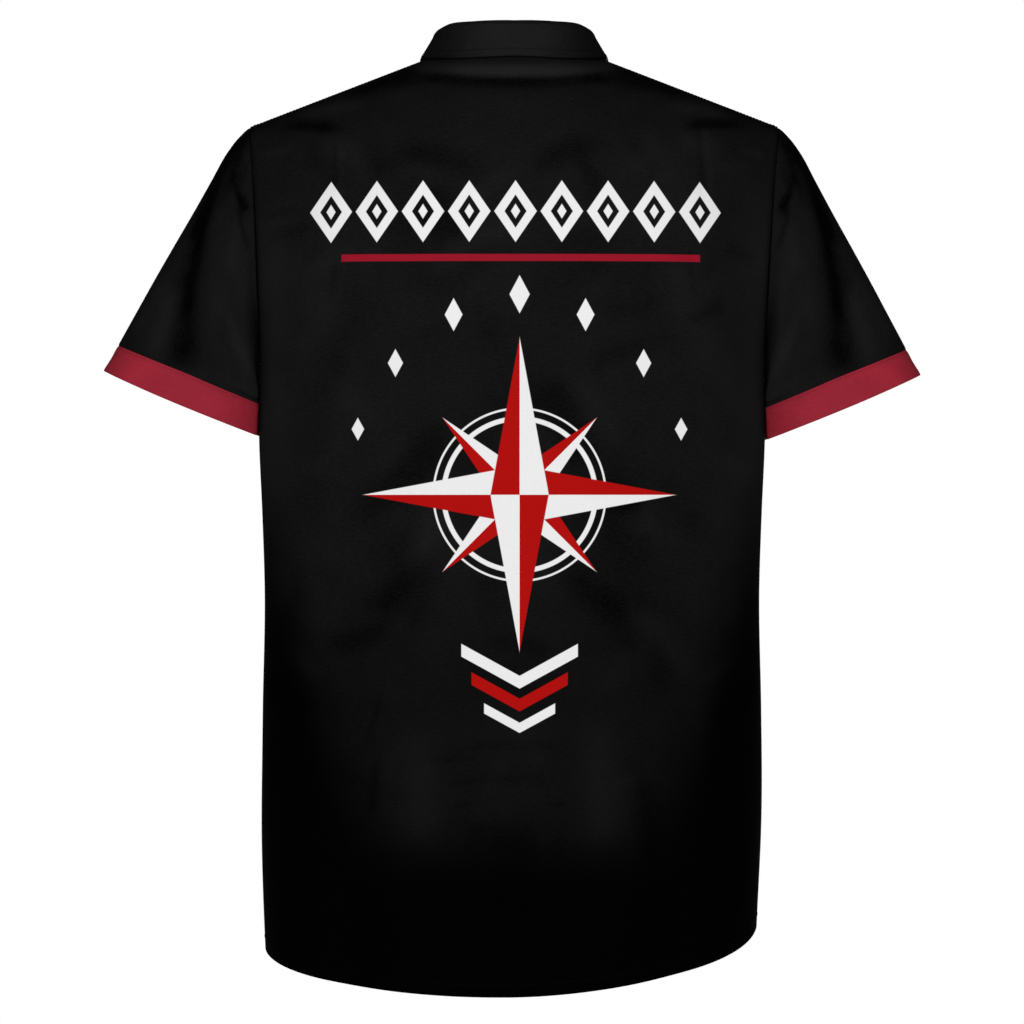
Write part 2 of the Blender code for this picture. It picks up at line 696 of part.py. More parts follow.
def main():
    clear_scene()
    shirt = bpy.data.collections.new("bowling_shirt")
    bpy.context.scene.collection.children.link(shirt)
    pieces = [make_back(), make_front("front_left", -1, False), make_front("front_right", 1, True)]
    for side, hand in (("left", -1), ("right", 1)):
        pieces.append(make_sleeve(side, hand))
        pieces.append(make_band(side, hand))
    pieces.append(make_collar())
    pieces.extend(make_button(number) for number in range(BUTTON_COUNT))
    for piece in pieces:
        shirt.objects.link(piece)


main()
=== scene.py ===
"""Bowling shirt of black shirting with red cuff bands, worn and hollow, with a printed back.

The wearer faces +Y, so the printed back faces -Y. +Z is up, and the origin is on the shoulder line
at the middle of the neck. Sizes are in millimetres and become metres where a mesh is made. The
shirt's form is worked out by the same formulas as its solids, on finer grids. Creases, seams,
stitches, buttons and the print are added here.
"""

import copy
import math

import bpy
import numpy as np
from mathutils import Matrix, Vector


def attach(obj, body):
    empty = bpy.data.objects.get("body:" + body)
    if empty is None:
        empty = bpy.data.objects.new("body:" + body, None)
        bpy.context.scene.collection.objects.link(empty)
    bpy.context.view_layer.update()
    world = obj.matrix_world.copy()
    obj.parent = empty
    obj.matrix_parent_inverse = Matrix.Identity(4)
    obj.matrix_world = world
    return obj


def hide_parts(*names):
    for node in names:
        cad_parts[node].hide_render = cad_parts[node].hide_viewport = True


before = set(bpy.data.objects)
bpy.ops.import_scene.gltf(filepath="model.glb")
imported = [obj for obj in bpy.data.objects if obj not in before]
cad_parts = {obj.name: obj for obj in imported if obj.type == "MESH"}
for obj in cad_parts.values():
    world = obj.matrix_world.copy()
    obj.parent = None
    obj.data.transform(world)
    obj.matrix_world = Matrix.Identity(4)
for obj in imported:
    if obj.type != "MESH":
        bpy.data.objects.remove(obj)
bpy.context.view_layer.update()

MM = 0.001
FINENESS = 1.0

# Cloth and seams
CLOTH = 1.5
DOUBLED_CLOTH = 2.0
SEAM = 0.3
PANEL_SEAM = 0.1
NUDGE = 0.01
SEAM_TURN = 3.0
SEAM_GROOVE = 0.6
SEAM_GROOVE_DEEP = 0.6

# Neckline: an oval in plan that cuts the torso's form
NECK_HALF = 72.0
NECK_DEPTH = {"back": 69.0, "front": 78.0}
NECK_SIDE_Z = 1.6
NECK_CROWN = {"back": 23.0, "front": 0.0}

# Shoulders and armholes
SHOULDER_HALF = 214.5
SHOULDER_FALL = 0.385
SHOULDER_ROLL = 115.0
NECK_ROLL = {"back": 115.0, "front": 300.0}
NECK_ROLL_SPREAD = 62.0
ARMPIT_HALF = 205.0
ARMPIT_Z = -228.0
ARMHOLE_CURVE = 2.2
ARMPIT_BLEND = 6.0
EDGE_ROUNDS = 5
HALVINGS = 24

# Torso sections: half width, and depth behind and before the shoulder line
TORSO_COLUMNS = ("height", "half_width", "back", "front", "squareness")
TORSO = (
    (-780, 196, 97, 108, 2.45),
    (-700, 199.8, 107, 116, 2.45),
    (-620, 202.7, 115, 121, 2.45),
    (-530, 202.3, 115, 120, 2.45),
    (-430, 200.7, 111, 119, 2.45),
    (-365, 202.7, 112, 122, 2.5),
    (-310, 205, 116, 126, 2.65),
    (-228, 205, 121, 128, 2.9),
    (-140, 214.5, 120, 126, 2.9),
    (-50, 222, 114, 121, 2.9),
    (20, 225, 108, 116, 2.9),
)

# Hem: lowest behind the middle, rising towards the side seams, a little more on the right
HEM_Z = -750.6
HEM_RISE = 41.2
HEM_POWER = 1.31
HEM_SKEW = 9.2
HEM_LEVELLING = 23
HEM_WIDTH = 11.0

# The shirt sways a little: its shoulders to its right and its hem to its left, over heights
TOP_SWAY, TOP_SWAY_Z = 1.8, (-300.0, 0.0)
HEM_SWAY, HEM_SWAY_Z = -1.2, (-700.0, -560.0)

# Front edges lap over each other at the middle
LAP = 13.0
LAP_FADE = (16.0, 48.0)
LAP_STEPS = 6

# Fine grid of a torso panel
NECK_STEPS = 22
SIDE_STEPS = 56
ARMHOLE_STEPS = 84
BODY_STEPS = 150
SPACING_SQUARENESS = 2.6
EDGE_ROWS = (0.8, 2.0, 4.0)

# Largest folds: a line from one place to another, how far it spreads, and its depth
FOLD_COLUMNS = ("across_from", "along_from", "across_to", "along_to", "spread", "depth")
FOLD_FADE_SIDE = 25.0
FOLD_FADE_TOP = 16.0
FOLDS = {
    "back": (
        (-50, -25, 56, -25, 8, 2.5),
        (-70, -500, -74, -690, 34, -3.6),
        (68, -490, 70, -690, 34, -3.4),
        (0, -560, 0, -740, 30, 3.8),
        (-138, -470, -130, -730, 26, 6),
        (140, -480, 128, -730, 26, 6),
        (-145, -164, -186, -262, 17, -1.8),
        (117, -164, 172, -262, 17, -1.8),
        (-108, -190, -142, -310, 22, 2.4),
        (88, -190, 128, -310, 22, 2),
        (-66, -312, -116, -362, 20, 3),
        (28, -272, 52, -322, 18, 2.6),
    ),
    "front": (
        (-72, -480, -80, -700, 32, -4.5),
        (70, -500, 76, -700, 32, -4.5),
        (-140, -470, -128, -730, 26, 6),
        (140, -460, 130, -730, 26, 6),
        (-150, -245, -70, -330, 28, 4),
        (150, -245, 70, -330, 28, 4),
    ),
}

# Creases of the torso: a line over x and z, its bow, its spread and its depth; ridges are negative
CREASE_FADE = (-0.12, 0.3)
CREASE_COLUMNS = ("across_from", "along_from", "across_to", "along_to", "bow", "spread", "depth")
CREASES = {
    "back": (
        # under the collar, from shoulder to shoulder
        (-90, -12, 94, -12, -11.5, 4, 2.2),
        (-62, -9, 64, -9, -4, 5, -1.2),
        # near the shoulder points
        (-186, -53, -138, -61, 1.5, 4, 2.2),
        (-176, -46, -120, -38, 0, 4.5, -1.2),
        (184, -53, 136, -58, -1.5, 4, 2),
        (172, -46, 122, -40, 0, 4.5, -1.1),
        (-205, -79, -178, -74, 0, 3, -0.9),
        (204, -80, 182, -76, 0, 3, -0.8),
        # short upright creases of the shoulder blades
        (-143, -70, -141, -110, 0, 2.4, 0.8),
        (-139, -70, -138, -118, 0, 2.8, -0.7),
        (-141, -158, -144, -204, 0, 2.6, 0.7),
        (146, -50, 151, -122, 1, 2.8, 0.8),
        (151, -50, 157, -118, 1, 3, -0.7),
        (140, -158, 144, -196, 0, 2.6, 0.7),
        # long slack folds from the shoulder blades down to the sides
        (-136, -150, -194, -285, 4, 15, -0.5),
        (-118, -160, -160, -300, 5, 12, 0.4),
        (126, -150, 186, -285, -4, 15, -0.5),
        (106, -165, 150, -300, -5, 12, 0.3),
        (-202, -132, -172, -126, 2, 3.5, 0.7),
        (-198, -150, -160, -141, 3, 5, 0.9),
        (196, -168, 168, -156, -3, 5, 0.8),
        (170, -196, 140, -214, 3, 6, 0.9),
        # across the shoulder blades
        (-96, -78, -20, -98, 4, 9, 1.1),
        (14, -96, 74, -72, 5, 10, 1.3),
        (52, -84, 66, -128, 3, 8, 1.3),
        (-66, -104, -34, -146, -4, 9, 1),
        (-120, -70, -104, -100, 0, 7, 0.9),
        (92, -66, 120, -96, -3, 7, 0.9),
        # in the hollow of the back
        (-57, -300, -128, -372, 8, 13, 1.9),
        (-30, -340, -82, -420, -6, 9, -1.2),
        (-66, -400, -118, -444, 5, 11, 1.2),
        (-96, -452, -152, -470, 6, 8, 1.4),
        (18, -262, 56, -330, 6, 12, 1.7),
        (60, -352, 104, -364, 4, 10, 1.4),
        (40, -408, 104, -450, -6, 12, 1.3),
        (86, -440, 148, -500, 5, 10, -1.3),
        (-20, -470, 32, -476, 3, 8, 0.9),
        (118, -330, 160, -392, -6, 12, 0.6),
        (-150, -330, -176, -398, 4, 12, 0.3),
        # over the seat
        (-45, -553, 41, -553, 3, 3.2, 0.8),
        (-68, -561, -28, -558, -2, 3, 0.6),
        (-58, -580, 36, -578, 2, 3.6, 0.7),
        (-46, -596, -32, -597, 0, 2.6, 0.8),
        (28, -597, 44, -596, 0, 2.6, 0.8),
        (-104, -506, -121, -560, 2, 3.2, 0.6),
        (-108, -560, -112, -606, 0, 4, 1.1),
        (-72, -540, -66, -640, -4, 13, -1.2),
        (64, -528, 70, -640, 4, 13, -1.2),
        (98, -560, 112, -650, 5, 10, 1.5),
        (0, -612, 2, -700, 3, 16, 1.6),
        # notches at the sides
        (-194, -486, -160, -524, -4, 7, 2.2),
        (-184, -470, -150, -498, -3, 6, -1.6),
        (-196, -560, -168, -586, -3, 6, 1.7),
        (194, -494, 158, -530, 4, 7, 1.9),
        (190, -470, 150, -500, 3, 6, -1.7),
        (160, -530, 174, -600, -3, 7, 1),
        (-176, -620, -160, -700, 3, 9, 1.6),
        (176, -640, 160, -716, -3, 9, 1.5),
    ),
    "front": (
        (-186, -56, -138, -64, 1.5, 5, 2),
        (184, -58, 134, -60, -1.5, 5, 2.1),
        (-128, -44, -96, -96, -4, 7, 1.3),
        (126, -46, 100, -104, 4, 7, 1.2),
        (-196, -210, -120, -262, 6, 12, 2.2),
        (-190, -232, -104, -300, -5, 10, -1.6),
        (196, -206, 124, -256, -6, 12, 2.2),
        (190, -236, 98, -310, 5, 10, -1.6),
        (-20, -180, -74, -200, 3, 7, 0.9),
        (-22, -182, 20, -206, 2, 7, 0.8),
        (-24, -272, -92, -300, 4, 9, 1.1),
        (26, -364, 88, -392, -4, 9, 1.2),
        (-22, -368, -84, -384, 5, 8, 1),
        (-118, -340, -160, -410, 6, 12, 1.6),
        (120, -350, 162, -430, -5, 12, 1.6),
        (24, -458, 96, -486, 4, 9, 1.1),
        (-24, -460, -104, -512, -5, 10, 1.4),
        (-194, -480, -156, -520, -4, 7, 2.6),
        (194, -500, 158, -536, 4, 7, 2.6),
        (-98, -540, -112, -650, 5, 12, 1.7),
        (96, -530, 104, -660, -5, 12, 1.7),
        (-40, -560, -46, -690, 4, 11, -1.4),
        (42, -570, 46, -700, 4, 11, -1.3),
        (-178, -610, -162, -700, 3, 9, 1.5),
        (178, -600, 162, -700, -3, 9, 1.5),
    ),
}

# Painted shade pooled beside the folds, with the columns of creases; painted light where the depth
# is negative
PAINTED_SHADES = {
    "back": (
        (-88, -9, 94, -8, -13, 2.2, 1),
        (-78, -9, 82, -9, -5, 6, -2.1),
        (-140, -30, -76, -12, 0, 8, 1.2),
        (146, -30, 82, -12, 0, 8, 1.2),
        (-198, -60, -136, -57, 3, 7, 0.5),
        (200, -60, 136, -54, -3, 7, 0.5),
        (-196, -110, -197, -372, 0, 16, -1.5),
        (202, -100, 201, -350, 0, 15, -1.5),
        (-100, -24, -52, -17, 0, 5, 0.6),
        (54, -17, 108, -25, 0, 5, 0.8),
        (198, -120, 198, -440, 0, 22, -0.4),
        (-156, -72, -112, -92, 0, 13, -0.8),
        (104, -60, 108, -98, 0, 13, -0.5),
        (130, -72, 168, -76, 0, 9, -0.7),
        (-40, -160, -18, -216, 0, 22, -0.4),
        (-92, -60, -66, -186, 0, 22, 0.35),
        (-34, -300, -30, -372, 0, 24, 0.5),
        (-164, -470, -176, -500, 0, 12, -0.6),
        (150, -500, 160, -580, 0, 12, -0.6),
        (-188, -400, -186, -450, 0, 10, -0.7),
        (178, -420, 176, -470, 0, 10, -0.5),
        (54, -140, 64, -186, 0, 24, 0.5),
        (-94, -370, -84, -466, 0, 22, 0.5),
        (70, -300, 98, -500, 4, 32, 0.75),
        (0, -520, 0, -600, 0, 34, -0.3),
        (100, -110, 165, -110, 0, 26, -0.25),
        (-68, -540, -74, -650, 0, 18, -0.25),
        (74, -540, 74, -650, 0, 18, -0.25),
        (0, -130, 0, -330, 0, 70, 0.15),
    ),
    "front": (
        (-74, -540, -80, -650, 0, 18, -0.25),
        (72, -540, 76, -650, 0, 18, -0.25),
    ),
}

# Relief beside a panel's edges, and the painted light and shade that it gives the cloth: painted
# shade in creases, deep folds, along the shoulder's crest, in the armhole seam's groove and along
# the hem's stitches, and painted light on ridges and on the swell beside the seam
FLAT_AT_SIDE, FLAT_AT_TOP = 14.0, 9.0
CREASE_TONE, FOLD_TONE = 0.75, 0.015
SHOULDER_SHADE, SHOULDER_SHADE_WIDE = 1.3, 8.0
SHOULDER_SHADE_FROM = (66.0, 90.0)
SEAM_SWELL, SEAM_SWELL_AWAY, SEAM_SWELL_WIDE = 0.3, 4.0, 2.4
HEM_STEP = 0.55
SEWN_DEPTH, SEWN_TONE = 0.35, 0.5

# Small slack over the whole cloth: short soft creases, drawn at random once
SLACK_COUNT = 90
SLACK_HALF_X, SLACK_Z = 195, (-735, -50)
SLACK_SLANT, SLACK_SLANT_OUT = 0.75, 0.5
SLACK_BOW = 4
SLACK_LENGTH = (24.0, 78.0)
SLACK_SPREAD = (5.0, 13.0)
SLACK_DEPTH = 0.75
SLACK_SEED = {"back": 7, "front": 19}

# Sleeve: from the armhole to the band, its upper and under lines in x and z. The right one hangs a
# little lower, and each band's edge bows away from the arm before and behind.
BAND_TOP_OUTER = (320.0, -230.4)
BAND_TOP_UNDER = (205.7, -277.6)
BAND_END_OUTER = (333.0, -250.5)
BAND_END_UNDER = (205.8, -303.4)
SLEEVE_FORWARD = 6.0
RIM_LEAN = 0.6
UNDER_BOW = 0.15
PRESS_TURN = 38.0
PRESS_DEPTH = (13.6, 15.2)
PRESS_SPREAD = (12.0, 26.0)
SLEEVE_COLUMNS = ("share", "crown", "half_depth")
SLEEVE = (
    (0, 0, 59),
    (0.06, 3.6, 60),
    (0.13, 5.2, 61.5),
    (0.25, 4.6, 63),
    (0.4, 3.8, 63.5),
    (0.55, 3.2, 63),
    (0.7, 2.6, 62),
    (0.85, 1.6, 61),
    (1, 0.6, 60),
)
SLEEVE_STEPS = 76
SLEEVE_LONG = 220
SLEEVE_END_SHARES = (0.004, 0.009, 0.993, 0.997)
SLEEVE_TUCK = 1.6
SLEEVE_TUCK_DEEP = 0.25
BAND_HALF_DEPTH = 60.5
BAND_BOW = 1.6
SLEEVE_DROP = {"left": 0.0, "right": 3.3}
BAND_STEPS = 12
BAND_EDGE_WAYS = (0.02, 0.97, 0.99)
BAND_STITCH_WAY = 0.1
BAND_PINCH, BAND_PINCH_WIDE = 0.3, 0.03
BAND_TOP_ROLL, BAND_TOP_ROLL_TO = 0.5, 0.06
BAND_END_ROLL, BAND_END_ROLL_FROM = 0.6, 0.95
# Painted light over the top of a band and painted shade under it, and the band's painted shading a
# little darker throughout
BAND_LIT_ABOVE, BAND_DARK_BELOW, BAND_LIT_TURN = 2.0, 0.9, 60.0
BAND_DARKER = 0.3

# Folds and creases of a sleeve: across is degrees from its upper line, and along is percent of
# its length
SLEEVE_FOLD_START = 15.0
SLEEVE_CREASE_START = 5.0
SLEEVE_END_FLAT, SLEEVE_END_FLAT_FROM = 0.75, 94.0
SLEEVE_SWELL_AT, SLEEVE_SWELL_WIDE = 2.2, 1.3
SLEEVE_GROOVE = 0.3
SLEEVE_END_IN, SLEEVE_END_IN_FROM = 0.5, 99.2
# painted shade in a sleeve's troughs and in the groove of its armhole seam, painted light on its
# ridges
SLEEVE_TONE, SLEEVE_CREASE_TONE, SLEEVE_FOLD_TONE = 0.9, 0.5, 0.03
SLEEVE_GROOVE_TONE = 1.2
SLEEVE_FOLDS = {
    "back": (
        (26, 37, 45, 51, 12, 6),
        (58, 63, 74, 80, 14, 4.5),
        (80, 91, 92, 98, 14, 4),
    ),
    "front": (
        (30, 30, 50, 46, 13, 5),
        (62, 62, 72, 80, 14, 4.5),
    ),
}
SLEEVE_CREASES = {
    "back": (
        (12, 24, 58, 70, 2, 5, 3.4),
        (56, 58, 84, 94, 0, 7, 1.2),
        (74, 80, 94, 100, -3, 8, 1),
        (30, 62, 36, 96, 2, 10, -1.4),
        (29, 6, 58, 3, 4, 4, 1.6),
        (40, 8, 66, 5, 4, 3.4, -1),
        (52, 9, 76, 4, 3, 3.4, 1.2),
        (70, 14, 104, 18, 3, 6, 0.4),
        (84, 30, 128, 44, -4, 9, 1),
        (96, 52, 150, 68, 5, 9, 1.1),
        (104, 78, 150, 84, -3, 7, 0.8),
        (140, 94, 174, 88, -2, 2.6, 1.6),
    ),
    "front": (
        (24, 26, 60, 62, 4, 8, 3),
        (44, 56, 70, 92, -4, 10, 1.8),
        (34, 7, 60, 4, 4, 4, 1.4),
        (50, 12, 80, 8, 3, 4, -0.9),
        (78, 26, 120, 40, 4, 9, 1.1),
        (90, 58, 142, 66, -5, 9, 1.1),
        (112, 82, 160, 90, 3, 7, 0.9),
    ),
}

# Painted shade and painted light on a sleeve, over the same across and along, with the columns of
# creases; painted light where the depth is negative
SLEEVE_PAINTED_SHADES = (
    (18, -6, 27, 46, 0, 15, 1.7),
    (20, 32, 32, 46, 0, 8, 0.9),
    (10, 56, 24, 104, 0, 17, -0.5),
    (28, 26, 48, 50, 0, 8, 1.5),
    (46, 44, 72, 74, -1, 9, 1.2),
    (70, 62, 92, 98, 0, 13, 0.6),
    (46, 64, 62, 100, 0, 10, -0.8),
    (44, 10, 52, 24, 0, 7, 0.6),
    (72, 12, 92, 30, 0, 8, -0.6),
    (108, 2, 128, 56, 0, 18, -0.9),
    (126, 40, 152, 100, 0, 22, -1.5),
    (144, 14, 168, 98, 0, 14, -1.8),
    (62, 82, 84, 99, 0, 7, 0.5),
    (86, 18, 98, 60, 0, 16, -0.4),
    (40, 12, 78, 4, 2, 2.4, 1.2),
    (66, 11, 96, 6, 2, 2.2, 0.8),
    (120, 95.5, 172, 95, 0, 1.6, 1.2),
)

# Collar: one strip round the neck that stands up, folds over and falls on the shoulders
COLLAR_FOLD_RADIUS = 2.8
COLLAR_LIFT = 0.85
COLLAR_TIP_LIFT, COLLAR_TIP_FROM = 0.35, (10.0, 70.0)
COLLAR_SEAM = 0.2
COLLAR_STEEPEST = 2.5
SLOPE_STEP = 1.0
COLLAR_END_GAP = 0.4
COLLAR_END_TURNS = (0.5, 1.2)
COLLAR_EDGE_SHARES = (0.97, 0.99)
COLLAR_COLUMNS = ("angle", "stand", "lean", "fall_angle", "reach")
COLLAR = (
    (0, 27.9, -1, 0, 5.2),
    (25, 28.9, -1.5, 25, 5.2),
    (45, 28.4, -2.5, 45, 5),
    (60, 24.6, -5, 60, 5),
    (75, 20.8, -8, 75, 4.9),
    (90, 18.2, -9.5, 89, 4.4),
    (120, 15.5, -8, 116, 13),
    (150, 9.5, -4.5, 138, 25),
    (180, 5, -1.5, 152, 37),
)
COLLAR_STEPS = 96
STAND_STEPS = 10
FOLD_STEPS = 10
FALL_STEPS = 26
COLLAR_STITCH = 6.0
# Painted light on the collar's fall, giving way to a little painted shade towards its ends; painted
# shade in the pinch of its stitching and along its edge
COLLAR_PAINTED_LIGHT, COLLAR_PAINTED_LIGHT_DROP, COLLAR_PAINTED_LIGHT_FROM = 1.2, 1.4, (14.0, 68.0)
COLLAR_WAVE, COLLAR_WAVE_LONG, COLLAR_WAVE_DEEP = 0.35, 17.0, 14.0
COLLAR_PINCH, COLLAR_PINCH_WIDE = 0.2, 1.3
COLLAR_ROLL, COLLAR_ROLL_WIDE = 0.55, 0.9
COLLAR_EDGE_SHADE, COLLAR_EDGE_SHADE_WIDE = 0.6, 0.8

# Buttons and their holes
BUTTON_RADIUS = 5.75
BUTTON_THICK = 2.4
BUTTON_DISH = 0.7
BUTTON_RIM = 1.3
BUTTON_TOP_Z = -90.0
BUTTON_SPACING = 92.0
BUTTON_COUNT = 7
BUTTON_SEAT_HALF = 5.0
BUTTON_HOLE_RADIUS = 0.85
BUTTON_HOLE_AWAY = 1.75
BUTTON_HOLE_DEEP = 1.0
BUTTON_SEWN_DEEP = 0.1
BUTTONHOLE_HALF = 7.5
BUTTONHOLE_STITCHES = 27
BUTTONHOLE_EDGE_AWAY, BUTTONHOLE_EDGE_HALF = 0.95, 0.75

# Stitches
STITCH_PITCH = 2.8
STITCH_LENGTH = 2.1
STITCH_RADIUS = 0.27
STITCH_SIDES = 6
STITCH_BLUNT = 0.12
STITCH_PROUD = 0.35
SHOULDER_STITCH, FRONT_STITCH = 3.0, 5.0
STITCH_PROFILE = ((-1.0, 0.0), (-0.8, 0.75), (0.0, 1.0), (0.8, 0.75), (1.0, 0.0))

# Finishes, as linear colours
BLACK_DYE = (0.0056, 0.0056, 0.0057)
RED_DYE = (0.255, 0.0152, 0.0284)
BAR_RED = (0.245, 0.0062, 0.0168)
INK_RED = (0.346, 0.0036, 0.0030)
INK_WHITE = (0.69, 0.69, 0.69)
BLACK_THREAD = (0.0034, 0.0034, 0.0035)
RED_THREAD = (0.23, 0.013, 0.024)
BLACK_HORN = (0.012, 0.012, 0.012)
FLOOR_PAINT = (0.86, 0.86, 0.85)
BLACK_ROUGH, BLACK_SHEEN = 0.78, 0.012
RED_ROUGH, RED_SHEEN, RED_CONTRAST = 0.76, 0.05, 0.35
YARN_PITCH = 0.62
SLUB, CLOUD, FLECK, DARKER = 1.1, 0.6, 0.7, 1.2
SLUB_SCALE, CLOUD_SCALE, FLECK_SCALE = (0.2, 0.65), 0.03, (0.5, 0.6)
WEAVE_HIGH, SLUB_HIGH, FLECK_HIGH = 0.45, 0.9, 0.3
WEAVE_BUMP, WEAVE_DEEP = 0.35, 0.22
# how much the painted light and shade change the cloth's colour, and the limits of that change
# together with the yarns' own tone
TONE_CONTRAST = 0.55
TONE_DARKEST, TONE_PALEST = -0.9, 1.2
# Painted shade towards the hem: a first step of it higher up, then deeper from a start down to a
# full height, both higher at the sides than in the middle; at its fullest it leaves little of the
# colour
HEM_SHADE_START, HEM_SHADE_FULL = -592.0, -668.0
HEM_SHADE_START_SIDES, HEM_SHADE_START_RISE = (85.0, 200.0), 270.0
HEM_SHADE_FULL_SIDES, HEM_SHADE_FULL_RISE = (120.0, 205.0), 192.0
HEM_SHADE_VEIL, HEM_SHADE_VEIL_Z = 0.4, (-520.0, -370.0)
DEEPEST_HEM_SHADE = 0.97

# Stage
SHOULDER_ABOVE_FLOOR = 1.36
FLOOR_HALF = 2.6
CAMERA_AWAY = 4.0
CAMERA_Z = -0.3656
VIEW_WIDTH = 0.832
SENSOR = 36.0
CLIP = (0.05, 100.0)
LIGHT_ON_CLOTH, LIGHT_SEEN = 0.15, 1.0
LIGHTS = (
    # name, place, what it points at, size and power
    ("key", (-0.05, -3.1, 0.35), (0, 0, -0.33), 0.9, 91),
    ("far_side", (0.25, 3.0, -0.7), (0, 0, -0.4), 0.8, 98),
)


def steps(count):
    """Number of grid steps at the fineness asked for."""
    return max(3, round(count * FINENESS))


def even_shares(count):
    """Even shares from 0 to 1 at the fineness asked for."""
    return np.linspace(0, 1, steps(count) + 1)


# Curves and creases


def curve(table, columns, name, at):
    """Cubic through one named column of a table, read at values of its first column."""
    rows = np.array(table)
    knots = rows[:, 0]
    values = rows[:, columns.index(name)]
    slopes = np.gradient(values, knots)
    at = np.clip(at, knots[0], knots[-1])
    low = np.clip(np.searchsorted(knots, at) - 1, 0, len(knots) - 2)
    span = knots[low + 1] - knots[low]
    share = (at - knots[low]) / span
    ends = values[low] * (1 + 2 * share) * (1 - share) ** 2
    ends = ends + values[low + 1] * share**2 * (3 - 2 * share)
    bend = slopes[low] * share * (1 - share) ** 2 - slopes[low + 1] * share**2 * (1 - share)
    return ends + span * bend


def smooth_step(low, high, value):
    """0 below low, 1 above high, and between them 3 squares less 2 cubes of the share."""
    share = np.clip((value - low) / (high - low), 0.0, 1.0)
    return share * share * (3 - 2 * share)


def bell(distance):
    """1 in the middle, falling to a third at a distance of 1."""
    return np.exp(-(distance**2))


def fold_depth(folds, across, along):
    """Sum of soft troughs, each a bell of the distance from a line."""
    total = np.zeros(np.broadcast(across, along).shape)
    for row in folds:
        fold = dict(zip(FOLD_COLUMNS, row))
        run_across = fold["across_to"] - fold["across_from"]
        run_along = fold["along_to"] - fold["along_from"]
        from_across = across - fold["across_from"]
        from_along = along - fold["along_from"]
        share = from_across * run_across + from_along * run_along
        share = np.clip(share / (run_across**2 + run_along**2), 0.0, 1.0)
        away = np.hypot(from_across - share * run_across, from_along - share * run_along)
        total = total + fold["depth"] * bell(away / fold["spread"])
    return total


def crease_depth(creases, across, along):
    """Sum of creases, each a bell across a bowed line that fades out over both its ends.

    The bow is a parabola: it moves the line aside by its whole amount halfway along.
    """
    total = np.zeros(np.broadcast(across, along).shape)
    for row in creases:
        crease = dict(zip(CREASE_COLUMNS, row))
        run_across = crease["across_to"] - crease["across_from"]
        run_along = crease["along_to"] - crease["along_from"]
        length = math.hypot(run_across, run_along)
        from_across = across - crease["across_from"]
        from_along = along - crease["along_from"]
        share = (from_across * run_across + from_along * run_along) / length**2
        aside = (from_along * run_across - from_across * run_along) / length
        aside = aside - crease["bow"] * 4 * share * (1 - share)
        ends = smooth_step(*CREASE_FADE, share) * smooth_step(*CREASE_FADE, 1 - share)
        total = total + crease["depth"] * ends * bell(aside / crease["spread"])
    return total


def slack_creases(seed):
    """Short creases scattered over a panel, mostly slanting down towards its sides."""
    draw = np.random.RandomState(seed)
    x = draw.uniform(-SLACK_HALF_X, SLACK_HALF_X, SLACK_COUNT)
    z = draw.uniform(*SLACK_Z, SLACK_COUNT)
    slant = draw.normal(0.0, SLACK_SLANT, SLACK_COUNT) - np.sign(x) * SLACK_SLANT_OUT
    half = draw.uniform(*SLACK_LENGTH, SLACK_COUNT) / 2
    run_x = half * np.cos(slant)
    run_z = half * np.sin(slant)
    bow = draw.uniform(-SLACK_BOW, SLACK_BOW, SLACK_COUNT)
    spread = draw.uniform(*SLACK_SPREAD, SLACK_COUNT)
    depth = draw.uniform(-SLACK_DEPTH, SLACK_DEPTH, SLACK_COUNT)
    return np.stack((x - run_x, z - run_z, x + run_x, z + run_z, bow, spread, depth), axis=-1)


# The torso's form


def neck_share(x):
    """1 at the middle of the neck's oval, falling to 0 at its sides and beyond."""
    return np.sqrt(np.clip(1 - (x / NECK_HALF) ** 2, 0.0, 1.0))


def crown_height(x, side):
    """Height of the form's crest: the shoulder's slope, and a cubic rise inside the neck."""
    slope = NECK_SIDE_Z - SHOULDER_FALL * np.clip(np.abs(x) - NECK_HALF, 0.0, None)
    share = np.clip(np.abs(x) / NECK_HALF, 0.0, 1.0)
    rise = NECK_CROWN[side] * (2 * share**3 - 3 * share**2 + 1)
    return slope + rise + SHOULDER_FALL * NECK_HALF * share**2 * (1 - share)


def roll_length(x, side):
    """Drop over which the form rolls out from its crest; longest before the neck."""
    beyond = np.clip(np.abs(x) - NECK_HALF, 0.0, None)
    near = bell(beyond / NECK_ROLL_SPREAD)
    return SHOULDER_ROLL + (NECK_ROLL[side] - SHOULDER_ROLL) * near


def section_depth(x, z, side):
    """Depth of a section, a rounded rectangle, before the form rolls in to its crest."""
    half = curve(TORSO, TORSO_COLUMNS, "half_width", z)
    squareness = curve(TORSO, TORSO_COLUMNS, "squareness", z)
    reach = np.clip(np.abs(x) / half, 0.0, 1.0)
    section = np.clip(1 - reach**squareness, 0.0, 1.0) ** (1 / squareness)
    return curve(TORSO, TORSO_COLUMNS, side, z) * section


def top_height(x, side):
    """Height of a panel's top edge: the crest, or where the neck's oval cuts the form."""
    x = np.asarray(x, float)
    edge = NECK_DEPTH[side] * neck_share(x)
    crown = crown_height(x, side)
    height = crown
    for _ in range(EDGE_ROUNDS):
        reach = np.clip(edge / section_depth(x, height, side), 0.0, 1.0)
        height = crown - roll_length(x, side) * (1 - np.sqrt(1 - reach**2))
    return height


def armhole_half(rise):
    """Distance of the armhole's edge from the middle, from 0 at the armpit to 1 at the shoulder."""
    return ARMPIT_HALF + (SHOULDER_HALF - ARMPIT_HALF) * rise**ARMHOLE_CURVE


